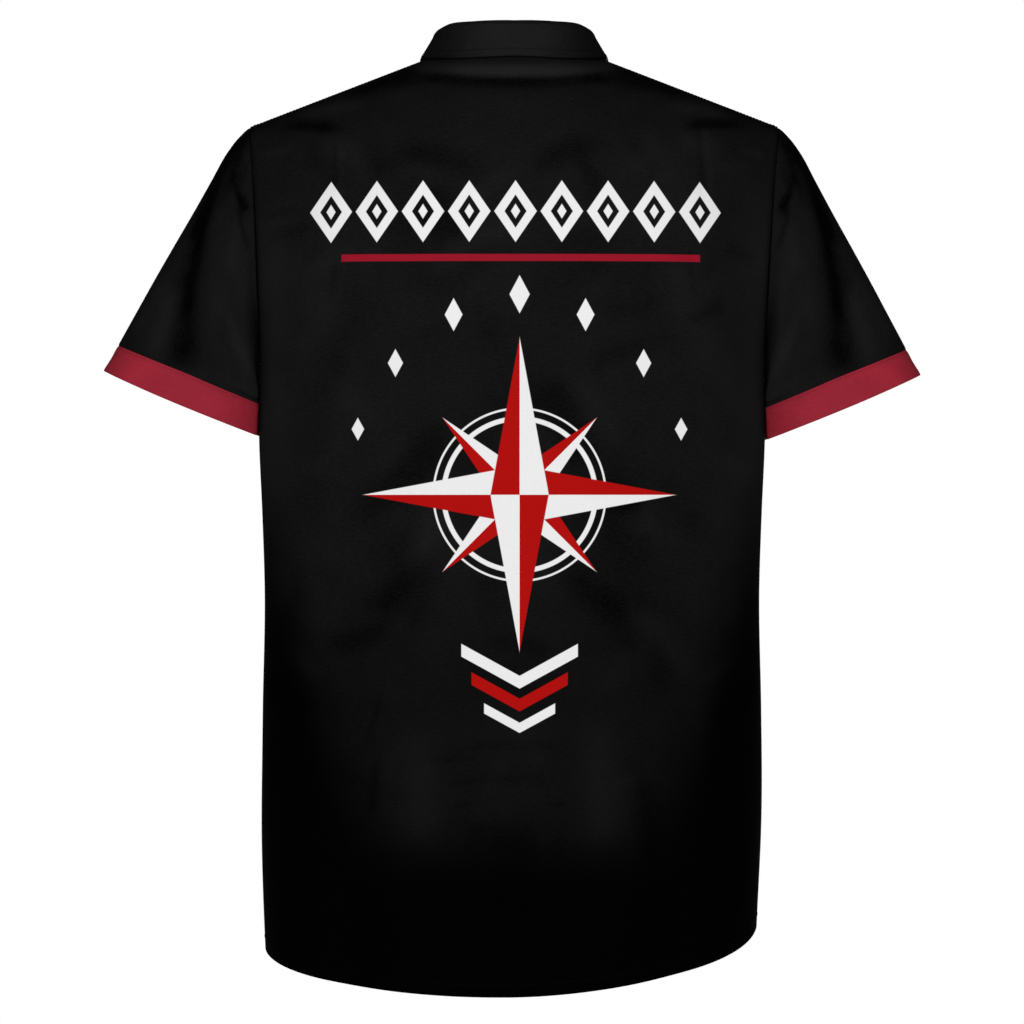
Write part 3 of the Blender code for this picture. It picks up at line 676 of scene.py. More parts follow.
def torso_depth(x, z, side):
    """How far the cloth lies behind or before the shoulder line, at a place seen from the back.

    Below the crest each section rolls in as a quarter of an ellipse. Folds fade out at the edges.
    """
    drop = np.clip((crown_height(x, side) - z) / roll_length(x, side), 0.0, 1.0)
    depth = section_depth(x, z, side) * np.sqrt(1 - (1 - drop) ** 2)
    beside = curve(TORSO, TORSO_COLUMNS, "half_width", z) - np.abs(x)
    inside = smooth_step(0.0, FOLD_FADE_SIDE, beside)
    inside = inside * smooth_step(0.0, FOLD_FADE_TOP, top_height(x, side) - z)
    return depth - fold_depth(FOLDS[side], x, z) * inside


def rest_height(x, y):
    """Height of the torso's cloth over a place in plan, found by halving between two heights."""
    low = np.full(x.shape, ARMPIT_Z)
    high = np.where(y < 0, crown_height(x, "back"), crown_height(x, "front"))
    for _ in range(HALVINGS):
        middle = (low + high) / 2
        behind = torso_depth(x, middle, "back")
        before = torso_depth(x, middle, "front")
        outside = np.where(y < 0, behind, before) > np.abs(y)
        low = np.where(outside, middle, low)
        high = np.where(outside, high, middle)
    return low


def hem_height(around):
    """Height of the hem, from -1 at the left side seam through 0 behind to 1 at the right.

    It rises as a power of the way round, and the way is bent so that it ends level at the seams.
    """
    way = around * (1 - np.abs(around) ** (HEM_LEVELLING - 1) / HEM_LEVELLING)
    way = way * HEM_LEVELLING / (HEM_LEVELLING - 1)
    return HEM_Z + HEM_RISE * np.abs(way) ** HEM_POWER + HEM_SKEW * way


def panel_columns(rise):
    """Shares of the half width in each row, from the middle to the edge.

    At the top they are sines across the neck and then even steps round a rounded section. Lower
    down all steps are even.
    """
    neck_end = NECK_HALF / SHOULDER_HALF
    neck = neck_end * np.sin(np.linspace(0, math.pi / 2, steps(NECK_STEPS) + 1))
    start = math.asin(neck_end ** (SPACING_SQUARENESS / 2))
    turns = np.linspace(start, math.pi / 2, steps(SIDE_STEPS) + 1)[1:]
    top = np.concatenate((neck, np.sin(turns) ** (2 / SPACING_SQUARENESS)))
    turns = np.linspace(0, math.pi / 2, len(top))
    even = np.sin(turns) ** (2 / SPACING_SQUARENESS)
    return even + (top - even) * smooth_step(0.0, 1.0, rise)[:, None]


class Panel:
    """Half a torso panel: its points, and where each lies over the panel.

    Rows run from the hem to the top and columns from the middle out. hand is -1 on the left and
    1 on the right. A lap adds columns past the middle.
    """

    def __init__(self, side, hand, lap=0.0):
        body = -ARMPIT_Z + HEM_Z
        near_hem = 1 + np.array((0.0, *EDGE_ROWS)) / body
        lower = np.concatenate((near_hem, np.linspace(1.0, 0.0, steps(BODY_STEPS) + 1)[1:-1]))
        lower = np.sort(lower)[::-1]
        rise = (1 - np.cos(np.linspace(0, math.pi, steps(ARMHOLE_STEPS) + 1))) / 2
        self.body_rows = len(lower)
        shares = panel_columns(np.concatenate((0 * lower, rise)))
        around = np.arcsin(shares[0] ** (SPACING_SQUARENESS / 2)) / (math.pi / 2)
        hem = hem_height(hand * around)
        z_low = ARMPIT_Z + lower[:, None] * (hem - ARMPIT_Z)
        x_low = curve(TORSO, TORSO_COLUMNS, "half_width", z_low) * shares[: len(lower)]
        x_high = armhole_half(rise[:, None]) * shares[len(lower) :]
        if lap:
            past = np.linspace(-lap, 0, steps(LAP_STEPS) + 1)[:-1]
            past_low = np.broadcast_to(past, (len(x_low), len(past)))
            past_high = np.broadcast_to(past, (len(x_high), len(past)))
            x_low = np.concatenate((past_low, x_low), axis=1)
            x_high = np.concatenate((past_high, x_high), axis=1)
            z_low = np.concatenate((np.repeat(z_low[:, :1], len(past), axis=1), z_low), axis=1)
            hem = np.concatenate((np.repeat(hem[:1], len(past)), hem))
        z_high = ARMPIT_Z + rise[:, None] * (top_height(x_high, side) - ARMPIT_Z)
        x = np.concatenate((x_low, x_high))
        z = np.concatenate((z_low, z_high))
        depth = torso_depth(x, z, side)
        depth[-1] = depth[-1] + (np.abs(x[-1]) > NECK_HALF - NUDGE) * PANEL_SEAM / 2
        depth[: self.body_rows + 1, -1] = depth[: self.body_rows + 1, -1] + PANEL_SEAM / 2
        y = -depth if side == "back" else depth
        self.points = np.stack((hand * x, y, z), axis=-1)
        edge = np.concatenate((x_low[:, -1:], armhole_half(rise[:, None])))
        self.from_side = edge - np.abs(x)
        self.from_hem = z - hem
        self.from_top = top_height(x, side) - z


FIELDS = ("points", "from_side", "from_hem", "from_top")


def joined(left, right):
    """Two halves of a panel as one, from the left side seam to the right."""
    whole = copy.copy(right)
    for name in FIELDS:
        halves = (getattr(left, name)[:, :0:-1], getattr(right, name))
        setattr(whole, name, np.concatenate(halves, axis=1))
    return whole


def cut(panel, columns):
    """Some columns of a panel."""
    part = copy.copy(panel)
    for name in FIELDS:
        setattr(part, name, getattr(panel, name)[:, columns])
    return part


def unit(vectors):
    """Vectors divided by their lengths."""
    return vectors / np.linalg.norm(vectors, axis=-1, keepdims=True)


def grid_normals(points, closed):
    """Cross product of a grid's two directions; closed joins the last column to the first."""
    if closed:
        wrapped = np.concatenate((points[:, -1:], points, points[:, :1]), axis=1)
        across = np.gradient(wrapped, axis=1)[:, 1:-1]
    else:
        across = np.gradient(points, axis=1)
    return unit(np.cross(across, np.gradient(points, axis=0)))


def sleeve_ring_turns():
    """Angles round the armhole, from 0 at the shoulder over the back to pi and up the front."""
    half = np.linspace(0, math.pi, steps(ARMHOLE_STEPS) + 1)
    return np.concatenate((half, half[1:-1] + math.pi))


def armhole_ring():
    """The edge that the panels leave, on the right-hand side."""
    turn = sleeve_ring_turns()
    rise = (1 + np.cos(turn)) / 2
    x = armhole_half(rise)
    z = ARMPIT_Z + rise * (top_height(SHOULDER_HALF, "back") - ARMPIT_Z)
    behind = torso_depth(x, z, "back")
    before = torso_depth(x, z, "front")
    return np.stack((x, np.where(np.sin(turn) > 0, -behind, before), z), axis=-1)


def towards_armhole_middle():
    """Directions in the armhole's plane, square to its edge, that point to its middle."""
    ring = armhole_ring() * (0.0, 1.0, 1.0)
    along = np.roll(ring, -1, axis=0) - np.roll(ring, 1, axis=0)
    square = unit(np.cross(along, (1.0, 0.0, 0.0)))
    return square * np.sign(np.sum(square * (ring.mean(axis=0) - ring), axis=-1))[:, None]


# Meshes


def quads_volume(vertices, faces):
    """Signed volume inside closed quads: each is two triangles, joined to the origin."""
    a, b, c, d = (vertices[faces[:, corner]] for corner in range(4))
    first = np.sum(a * np.cross(b, c), axis=-1)
    second = np.sum(a * np.cross(c, d), axis=-1)
    return (first + second).sum() / 6


CORNERS = (np.s_[:-1, :-1], np.s_[:-1, 1:], np.s_[1:, 1:], np.s_[1:, :-1])


def ringed(number):
    """A grid with its first column once more at its end."""
    return np.concatenate((number, number[:, :1]), axis=1)


def cells(number):
    """The four corner numbers of each cell of a grid."""
    return np.stack([number[at] for at in CORNERS], axis=-1).reshape(-1, 4)


def new_piece(name, vertices, faces, finishes, uv=None, slots=None, tone=None, sharp=50.0):
    """Makes a mesh piece of quads in metres, turned so that its faces point outwards.

    slots gives each face the index of its finish. The value kept at each vertex for painted light
    and shade is above 0 where light is painted on ridges and below 0 where shade is painted in
    creases.
    """
    z = vertices[:, 2]
    sway = TOP_SWAY * smooth_step(*TOP_SWAY_Z, z) + HEM_SWAY * (1 - smooth_step(*HEM_SWAY_Z, z))
    vertices = vertices + sway[:, None] * (1.0, 0.0, 0.0)
    if quads_volume(vertices, faces) < 0:
        faces = faces[:, ::-1]
        uv = None if uv is None else uv[:, ::-1]
    mesh = bpy.data.meshes.new(name)
    mesh.from_pydata((vertices * MM).tolist(), [], faces.tolist())
    if uv is not None:
        layer = mesh.uv_layers.new(name="cloth")
        layer.data.foreach_set("uv", np.ascontiguousarray(uv, dtype=np.float32).ravel())
    # painted light and shade at each vertex, read by the cloth's finishes
    if tone is not None:
        painted_shadings = mesh.attributes.new("tone", "FLOAT", "POINT")
        painted_shadings.data.foreach_set("value", np.ascontiguousarray(tone, dtype=np.float32).ravel())
    for finish in finishes:
        mesh.materials.append(finish)
    if slots is not None:
        mesh.polygons.foreach_set("material_index", slots.astype(np.int32))
    mesh.shade_smooth()
    mesh.set_sharp_from_angle(angle=math.radians(sharp))
    piece = bpy.data.objects.new(name, mesh)
    bpy.context.scene.collection.objects.link(piece)
    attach(piece, "root")
    return piece


def cloth_measure(points, closed):
    """How far each point lies along its row and its column, in millimetres, as a grid of pairs."""
    if closed:
        points = ringed(points)
    across = np.linalg.norm(np.diff(points, axis=1), axis=-1)
    along = np.linalg.norm(np.diff(points, axis=0), axis=-1)
    zero = np.zeros((1, points.shape[1]))
    u = np.concatenate((zero.T[:1].repeat(len(points), axis=0), np.cumsum(across, axis=1)), axis=1)
    v = np.concatenate((zero, np.cumsum(along, axis=0)))
    return np.stack((u - u.mean(), v), axis=-1)


def cloth_piece(name, node, outer, inwards, thickness, outside, inside, tone, closed=False):
    """Closed wall of cloth in place of a node: outer points, and the same grid moved inwards."""
    rows, columns = outer.shape[:2]
    vertices = np.concatenate((outer.reshape(-1, 3), (outer + inwards * thickness).reshape(-1, 3)))
    number = np.arange(rows * columns).reshape(rows, columns)
    measure = cloth_measure(outer, closed)
    if closed:
        number = ringed(number)
    front = cells(number)
    front_uv = np.stack([measure[at] for at in CORNERS], axis=-2).reshape(-1, 4, 2)
    faces = [front, front[:, ::-1] + rows * columns]
    uv = [front_uv, front_uv[:, ::-1]]
    edges = [np.s_[0, :], np.s_[-1, ::-1]]
    if not closed:
        edges = edges + [np.s_[::-1, 0], np.s_[:, -1]]
    for edge in edges:
        near = number[edge]
        far = near + rows * columns
        faces.append(np.stack((near[1:], near[:-1], far[:-1], far[1:]), axis=-1))
        line = measure[edge]
        uv.append(np.stack((line[1:], line[:-1], line[:-1], line[1:]), axis=-2))
    slots = np.concatenate((np.zeros(len(front)), np.ones(sum(len(part) for part in faces[1:]))))
    finishes = (outside, inside)
    # the inside takes the outside's painted light and shade, turned over
    painted_shadings = np.concatenate((tone.ravel(), -tone.ravel()))
    faces, uv = np.concatenate(faces), np.concatenate(uv)
    piece = new_piece(name, vertices, faces, finishes, uv, slots, painted_shadings)
    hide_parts(node)
    return piece


def on_grid(grid, row, column):
    """Values of a grid at fractional rows and columns, straight between its points."""
    row = np.clip(row, 0, grid.shape[0] - 1.001)
    column = np.clip(column, 0, grid.shape[1] - 1.001)
    r, c = row.astype(int), column.astype(int)
    down, right = (row - r)[..., None], (column - c)[..., None]
    low = grid[r, c] * (1 - right) + grid[r, c + 1] * right
    high = grid[r + 1, c] * (1 - right) + grid[r + 1, c + 1] * right
    return low * (1 - down) + high * down


def crossing_rows(field, value):
    """Fractional row in each column at which a field that grows with the row takes a value."""
    above = np.argmax(field >= value, axis=0)
    above = np.maximum(above, 1)
    column = np.arange(field.shape[1])
    low, high = field[above - 1, column], field[above, column]
    return above - 1 + np.clip((value - low) / (high - low), 0.0, 1.0)


def stitches(name, paths, outs, finish, slot, pitch=STITCH_PITCH, length=STITCH_LENGTH):
    """Rows of short rounded stitches, each a six-sided bar that lies along its path."""
    middles, ways, ups = [], [], []
    for path, out in zip(paths, outs):
        run = np.append(0.0, np.cumsum(np.linalg.norm(np.diff(path, axis=0), axis=-1)))
        count = max(2, int(run[-1] / pitch))
        at = (np.arange(count) + 0.5) * run[-1] / count
        ends = []
        for offset in (-length / 2, 0.0, length / 2):
            ends.append(np.stack([np.interp(at + offset, run, path[:, k]) for k in range(3)], -1))
        middles.append(ends[1])
        ways.append(unit(ends[2] - ends[0]))
        ups.append(unit(np.stack([np.interp(at, run, out[:, k]) for k in range(3)], -1)))
    middle, way, up = (np.concatenate(part) for part in (middles, ways, ups))
    aside = unit(np.cross(way, up))
    turn = np.arange(STITCH_SIDES) * 2 * math.pi / STITCH_SIDES
    rings = []
    for along, wide in STITCH_PROFILE:
        wide = max(wide, STITCH_BLUNT) * STITCH_RADIUS
        round_aside = aside[:, None] * (wide * np.cos(turn))[None, :, None]
        round_up = up[:, None] * (wide * np.sin(turn) + STITCH_RADIUS * STITCH_PROUD)[None, :, None]
        middle_ring = middle[:, None] + way[:, None] * (along * length / 2)
        rings.append(middle_ring + round_aside + round_up)
    rings = np.stack(rings, axis=1)
    vertices = rings.reshape(-1, 3)
    per = len(STITCH_PROFILE) * STITCH_SIDES
    number = np.arange(per).reshape(len(STITCH_PROFILE), STITCH_SIDES)
    caps = []
    for ring in (number[0][::-1], number[-1]):
        caps = caps + [ring[[0, 1, 2, 3]], ring[[0, 3, 4, 5]]]
    one = np.concatenate((cells(ringed(number)), np.array(caps)))
    faces = (one[None] + (np.arange(len(middle)) * per)[:, None, None]).reshape(-1, 4)
    return new_piece(name, vertices, faces, (finish,), sharp=180.0)


# Finishes


class Shade:
    """A shader socket. Using it in an expression adds Math nodes to its finish."""

    def __init__(self, finish, socket):
        self.finish = finish
        self.socket = socket

    def math(self, operation, *others):
        inputs = dict(enumerate((self, *others)))
        return self.finish.node("ShaderNodeMath", {"operation": operation}, inputs)

    def __add__(self, other):
        return self.math("ADD", other)

    def __mul__(self, other):
        return self.math("MULTIPLY", other)

    def __sub__(self, other):
        return self.math("SUBTRACT", other)

    def __truediv__(self, other):
        return self.math("DIVIDE", other)

    def __rsub__(self, other):
        return self * -1.0 + other

    def __neg__(self):
        return self * -1.0

    def __abs__(self):
        return self.math("ABSOLUTE")

    def __pow__(self, other):
        return self.math("POWER", other)

    __radd__ = __add__
    __rmul__ = __mul__

    def sin(self):
        return self.math("SINE")

    def least(self, other):
        return self.math("MINIMUM", other)

    def most(self, other):
        return self.math("MAXIMUM", other)

    def above(self, other):
        return self.math("GREATER_THAN", other)

    def folded(self, pitch):
        """Distance from the nearest of the marks that lie a pitch apart, one of them at 0."""
        return abs(self - (self / pitch).math("ROUND") * pitch)

    def clamped(self):
        return self.most(0.0).least(1.0)

    def step(self, low, high):
        """0 below low, 1 above high and a smooth rise between them."""
        share = ((self - low) / (high - low)).clamped()
        return share * share * (3.0 - 2.0 * share)


class Finish:
    """A material and the nodes that vary it over a surface."""

    def __init__(self, name, colour, roughness, **fixed):
        self.material = bpy.data.materials.new(name)
        self.material.use_nodes = True
        self.tree = self.material.node_tree
        self.shader = self.tree.nodes["Principled BSDF"]
        self.material.diffuse_color = (*colour, 1.0)
        self.shader.inputs["Base Color"].default_value = (*colour, 1.0)
        self.shader.inputs["Roughness"].default_value = roughness
        for name, value in fixed.items():
            self.shader.inputs[name.replace("_", " ")].default_value = value

    def node(self, kind, settings=None, inputs=None, output=0):
        """Adds a node, sets it, gives its sockets values or links, and returns an output."""
        made = self.tree.nodes.new(kind)
        for name, value in (settings or {}).items():
            setattr(made, name, value)
        for name, value in (inputs or {}).items():
            if isinstance(value, Shade):
                self.tree.links.new(value.socket, made.inputs[name])
            else:
                made.inputs[name].default_value = value
        return Shade(self, made.outputs[output])

    def feed(self, **values):
        """Links values to the shader's sockets of the same names."""
        for name, value in values.items():
            self.tree.links.new(value.socket, self.shader.inputs[name.replace("_", " ")])

    def place(self):
        """x, y and z over the shirt, in millimetres."""
        object_place = self.node("ShaderNodeTexCoord", output="Object")
        split = self.node("ShaderNodeSeparateXYZ", inputs={0: object_place})
        outputs = split.socket.node.outputs
        return [Shade(self, output) * (1 / MM) for output in outputs]

    def cloth_place(self):
        """How far across and along the cloth a point lies, in millimetres."""
        measure = self.node("ShaderNodeUVMap", {"uv_map": "cloth"})
        split = self.node("ShaderNodeSeparateXYZ", inputs={0: measure})
        return [Shade(self, output) for output in split.socket.node.outputs[:2]]

    def noise(self, x, y, z, detail=2.0, roughness=0.5):
        """Noise from 0 to 1 over coordinates that are already scaled."""
        vector = self.node("ShaderNodeCombineXYZ", inputs={0: x, 1: y, 2: z})
        inputs = {"Vector": vector, "Scale": 1.0, "Detail": detail, "Roughness": roughness}
        return self.node("ShaderNodeTexNoise", inputs=inputs, output="Fac")

    def mixed(self, share, first, second):
        """Colour between two colours."""
        settings = {"data_type": "RGBA"}
        inputs = {0: share}
        for index, colour in ((6, first), (7, second)):
            inputs[index] = colour if isinstance(colour, Shade) else (*colour, 1.0)
        return self.node("ShaderNodeMix", settings, inputs, output=2)

    def bumped(self, height, strength, distance):
        inputs = {"Strength": strength, "Distance": distance * MM, "Height": height}
        return self.node("ShaderNodeBump", inputs=inputs, output="Normal")


def scaled(colour, factor):
    """A colour made darker or paler."""
    return tuple(channel * factor for channel in colour)


def weave_height(u, v):
    """Plain weave: yarns that run both ways are rounded bars, and each passes over and under."""
    warp = (u * (math.pi / YARN_PITCH)).sin()
    weft = (v * (math.pi / YARN_PITCH)).sin()
    over = (warp * weft).above(0.0)
    return over * abs(warp) + (1.0 - over) * abs(weft)


def woven(finish, dye, contrast, depth=None):
    """Colour and height of woven shirting: thick yarns across it, with painted light on ridges and
    painted shade in creases.

    depth is how far the painted shade towards the hem has darkened it, from 0 to 1.
    """
    u, v = finish.cloth_place()
    slub = finish.noise(u * SLUB_SCALE[0], v * SLUB_SCALE[1], 0.0, 3.0, 0.6)
    cloud = finish.noise(u * CLOUD_SCALE, v * CLOUD_SCALE, 4.0, 4.0, 0.6)
    fleck = finish.noise(u * FLECK_SCALE[0], v * FLECK_SCALE[1], 9.0, 2.0)
    # painted light and shade kept at each vertex
    tone = finish.node("ShaderNodeAttribute", {"attribute_name": "tone"}, output="Fac")
    shade = slub * SLUB + cloud * CLOUD + fleck * FLECK - DARKER
    # the yarns' own tone, and the painted light and shade
    level = shade * contrast + tone * TONE_CONTRAST * contrast
    level = 1.0 + level.most(TONE_DARKEST).least(TONE_PALEST)
    # painted shade towards the hem
    if depth is not None:
        level = level * (1.0 - depth * DEEPEST_HEM_SHADE)
    inputs = {0: dye, "Scale": level}
    colour = finish.node("ShaderNodeVectorMath", {"operation": "SCALE"}, inputs)
    height = weave_height(u, v) * WEAVE_HIGH + slub * SLUB_HIGH + fleck * FLECK_HIGH
    return colour, height, shade + 0.5


def painted_hem_shade(x, z):
    """Painted shade towards the hem, from 0 to 1, reaching further up towards the sides than in the
    middle.
    """
    towards_side = abs(x)
    start = towards_side.step(*HEM_SHADE_START_SIDES) * HEM_SHADE_START_RISE + HEM_SHADE_START
    full = towards_side.step(*HEM_SHADE_FULL_SIDES) * HEM_SHADE_FULL_RISE + HEM_SHADE_FULL
    share = ((z - full) / (start - full)).most(0.0).least(1.0)
    # a first, lighter step of the painted shade higher up
    veil = (1.0 - z.step(*HEM_SHADE_VEIL_Z)) * HEM_SHADE_VEIL
    return 1.0 - share * share * (3.0 - share * 2.0) * (1.0 - veil)


def woven_finish(name, dye, roughness, sheen, contrast, dark):
    """Shirting of one dye, with painted shade towards the hem where dark is true."""
    finish = Finish(name, dye, roughness, Specular_IOR_Level=sheen)
    depth = painted_hem_shade(*finish.place()[::2]) if dark else None
    return finish, *woven(finish, dye, contrast, depth)


def plain_shirting(name, dye, roughness, sheen, contrast, dark):
    """Unprinted shirting, a little rougher where its yarns are thick."""
    finish, colour, height, shade = woven_finish(name, dye, roughness, sheen, contrast, dark)
    roughness = roughness - 0.06 + shade * (0.14 if dark else 0.12)
    normal = finish.bumped(height, WEAVE_BUMP, WEAVE_DEEP)
    finish.feed(Base_Color=colour, Roughness=roughness, Normal=normal)
    return finish


class Print:
    """Masks of a printed design, worked out over x and z as distances from shapes' edges."""

    SOFT = 0.5

    def __init__(self, x, z):
        self.x = x
        self.z = z

    def inside(self, distance):
        """1 inside an edge and 0 outside, softened over a little of the distance from it."""
        return (0.5 - distance * (1 / self.SOFT)).clamped()

    def box(self, x, z, half_x, half_z):
        """Rectangle round a place."""
        return self.inside((abs(self.x - x) - half_x).most(abs(self.z - z) - half_z))

    def lozenge(self, across, up, half_across, half_up):
        """Lozenge over distances from its middle: the sum of their shares is below 1."""
        slope = half_across * half_up / math.hypot(half_across, half_up)
        distance = (abs(across) / half_across + abs(up) / half_up - 1.0) * slope
        return self.inside(distance)

    def ring(self, x, z, radius, half_wide):
        """Ring of an even width round a place."""
        away = ((self.x - x) ** 2.0 + (self.z - z) ** 2.0).math("SQRT")
        return self.inside(abs(away - radius) - half_wide)

    def chevron(self, x, z, half_x, slope, half_up):
        """Chevron that points down: a bar whose height grows with the way from its middle."""
        fall = self.z - z - abs(self.x - x) * slope
        return self.inside((abs(fall) - half_up).most(abs(self.x - x) - half_x))


# Places and sizes of the print
ROW_X, ROW_Z = 2.8, -128.4
ROW_COUNT = 9
ROW_PITCH = 36.5
ROW_HALF_UP = 24.4
BAR_X, BAR_Z, BAR_HALF_X, BAR_HALF_Z = 7.0, -165.0, 141.8, 2.8
ROSE_X, ROSE_Z = 6.0, -352.0
ROSE_LONG = (23.0, 124.0)
ROSE_SHORT = (17.0, 86.0)
ROSE_RINGS = ((60.0, 1.9), (68.0, 0.8))
SPARKS = (
    # place from the rose's middle, half width and half height; those beside it come in pairs
    (0.0, 158.0, 8.0, 15.0),
    (52.0, 142.0, 7.0, 13.0),
    (98.0, 104.0, 6.0, 11.0),
    (128.0, 52.0, 5.0, 9.0),
)
CHEVRONS = ((-500.0, 46.0, 5.0), (-518.0, 38.0, 5.0), (-536.0, 28.0, 4.0))
CHEVRON_SLOPE = 0.55


def print_masks(x, z):
    """White and red parts of the back's print.

    A row of lozenges over a plain red bar, and under them a wind rose: eight pointed arms, each
    white on one side of its middle and red on the other, two rings, small lozenges round it and
    chevrons below.
    """
    ink = Print(x, z)
    near = (x - ROW_X).folded(ROW_PITCH)
    row = ink.box(ROW_X, ROW_Z, ROW_COUNT * ROW_PITCH / 2, ROW_HALF_UP + 1)
    outer = ink.lozenge(near, z - ROW_Z, ROW_PITCH * 0.46, ROW_HALF_UP)
    hole = ink.lozenge(near, z - ROW_Z, ROW_PITCH * 0.24, ROW_HALF_UP * 0.54)
    heart = ink.lozenge(near, z - ROW_Z, ROW_PITCH * 0.1, ROW_HALF_UP * 0.24)
    white = row * (outer * (1.0 - hole) + heart).clamped()
    bar = ink.box(BAR_X, BAR_Z, BAR_HALF_X, BAR_HALF_Z)

    across, up = x - ROSE_X, z - ROSE_Z
    slant_across = (across + up) * math.sqrt(0.5)
    slant_up = (up - across) * math.sqrt(0.5)
    half = slant_across * slant_up
    side = (across * up).above(0.0)
    slant_side = half.above(0.0)
    wide, long = ROSE_LONG
    upright = ink.lozenge(across, up, wide, long)
    level = ink.lozenge(across, up, long, wide) * (1.0 - upright)
    wide, long = ROSE_SHORT
    first = ink.lozenge(slant_across, slant_up, wide, long)
    second = ink.lozenge(slant_across, slant_up, long, wide) * (1.0 - first)
    free = (1.0 - upright) * (1.0 - level)
    slants = (first * slant_side + second * (1.0 - slant_side)) * free
    slants_red = (first * (1.0 - slant_side) + second * slant_side) * free
    arms = upright * side + level * (1.0 - side)
    arms_red = upright * (1.0 - side) + level * side
    clear = free * (1.0 - first) * (1.0 - second)
    for radius, half_wide in ROSE_RINGS:
        white = white + ink.ring(ROSE_X, ROSE_Z, radius, half_wide) * clear
    white = white + arms + slants
    red = arms_red + slants_red
    for spark_x, spark_z, half_x, half_z in SPARKS:
        for place in sorted({spark_x, -spark_x}):
            white = white + ink.lozenge(across - place, up - spark_z, half_x, half_z)
    for number, (height, half_x, half_up) in enumerate(CHEVRONS):
        mark = ink.chevron(ROSE_X, height, half_x, CHEVRON_SLOPE, half_up)
        if number % 2:
            red = red + mark
        else:
            white = white + mark
    return white.clamped(), red.clamped(), bar


def printed_shirting(name, dye, roughness, sheen):
    """The back's shirting: inks lie on it, smoother than the cloth and filling its weave."""
    # the cloth has painted shade towards the hem, and the inks are mixed over it without that shade
    finish, colour, height, shade = woven_finish(name, dye, roughness, sheen, 1.0, True)
    x, _, z = finish.place()
    white, red, bar = print_masks(x, z)
    fade = 1.0 - shade * 0.06
    for mask, ink in ((bar, BAR_RED), (red, INK_RED), (white, INK_WHITE)):
        colour = finish.mixed(mask * fade, colour, ink)
    inked = (white + red + bar).clamped()
    roughness = roughness - 0.06 + shade * 0.14 - inked * 0.16
    normal = finish.bumped(height * (1.0 - inked * 0.4) + inked * 0.3, WEAVE_BUMP, WEAVE_DEEP)
    finish.feed(Base_Color=colour, Roughness=roughness, Normal=normal)
    return finish


def sewing_thread(name, dye):
    """Twisted thread: slanting ridges over a smooth yarn, painted as lighter and darker bands of
    its dye, with painted shade towards the hem like the cloth it sews.
    """
    finish = Finish(name, dye, 0.5, Specular_IOR_Level=0.06)
    x, y, z = finish.place()
    # painted light and shade of the twist's ridges
    twist = ((x + y + z) * 9.0).sin() * 0.5 + 0.5
    yarn = finish.mixed(twist, scaled(dye, 0.7), scaled(dye, 1.25))
    # painted shade towards the hem
    inputs = {0: yarn, "Scale": 1.0 - painted_hem_shade(x, z) * DEEPEST_HEM_SHADE}
    colour = finish.node("ShaderNodeVectorMath", {"operation": "SCALE"}, inputs)
    finish.feed(Base_Color=colour, Roughness=0.45 + twist * 0.15)
    return finish


def polished_horn():
    """Black button: faint clouded streaks under a polished face, with fine scratches."""
    finish = Finish("black_button_horn", BLACK_HORN, 0.36, Coat_Weight=0.15, Coat_Roughness=0.12)
    x, y, z = finish.place()
    streak = finish.noise(x * 0.25, y * 0.25, z * 1.1, 4.0, 0.6)
    scratch = finish.noise(x * 6.0, y * 6.0, z * 0.7, 2.0, 0.5)
    streaks = finish.mixed(streak.step(0.4, 0.7), scaled(BLACK_HORN, 0.7), scaled(BLACK_HORN, 2.2))
    normal = finish.bumped(scratch, 0.15, 0.05)
    finish.feed(Base_Color=streaks, Roughness=0.3 + scratch * 0.2, Normal=normal)
    return finish


def pale_floor():
    """Even pale paint with the faintest clouds."""
    finish = Finish("pale_floor", FLOOR_PAINT, 0.7, Specular_IOR_Level=0.2)
    x, y, _ = finish.place()
    cloud = finish.noise(x * 0.002, y * 0.002, 0.0, 3.0)
    finish.feed(Base_Color=finish.mixed(cloud, scaled(FLOOR_PAINT, 0.985), FLOOR_PAINT))
    return finish


black_cloth = (BLACK_DYE, BLACK_ROUGH, BLACK_SHEEN)
red_cloth = (RED_DYE, RED_ROUGH, RED_SHEEN)
# the black shirting has painted shade towards the hem; the red does not
black = plain_shirting("black_shirting", *black_cloth, 1.0, True).material
printed = printed_shirting("printed_black_shirting", *black_cloth).material
red = plain_shirting("red_shirting", *red_cloth, RED_CONTRAST, False).material
black_thread = sewing_thread("black_thread", BLACK_THREAD).material
red_thread = sewing_thread("red_thread", RED_THREAD).material
horn = polished_horn().material
floor_paint = pale_floor().material


# Torso


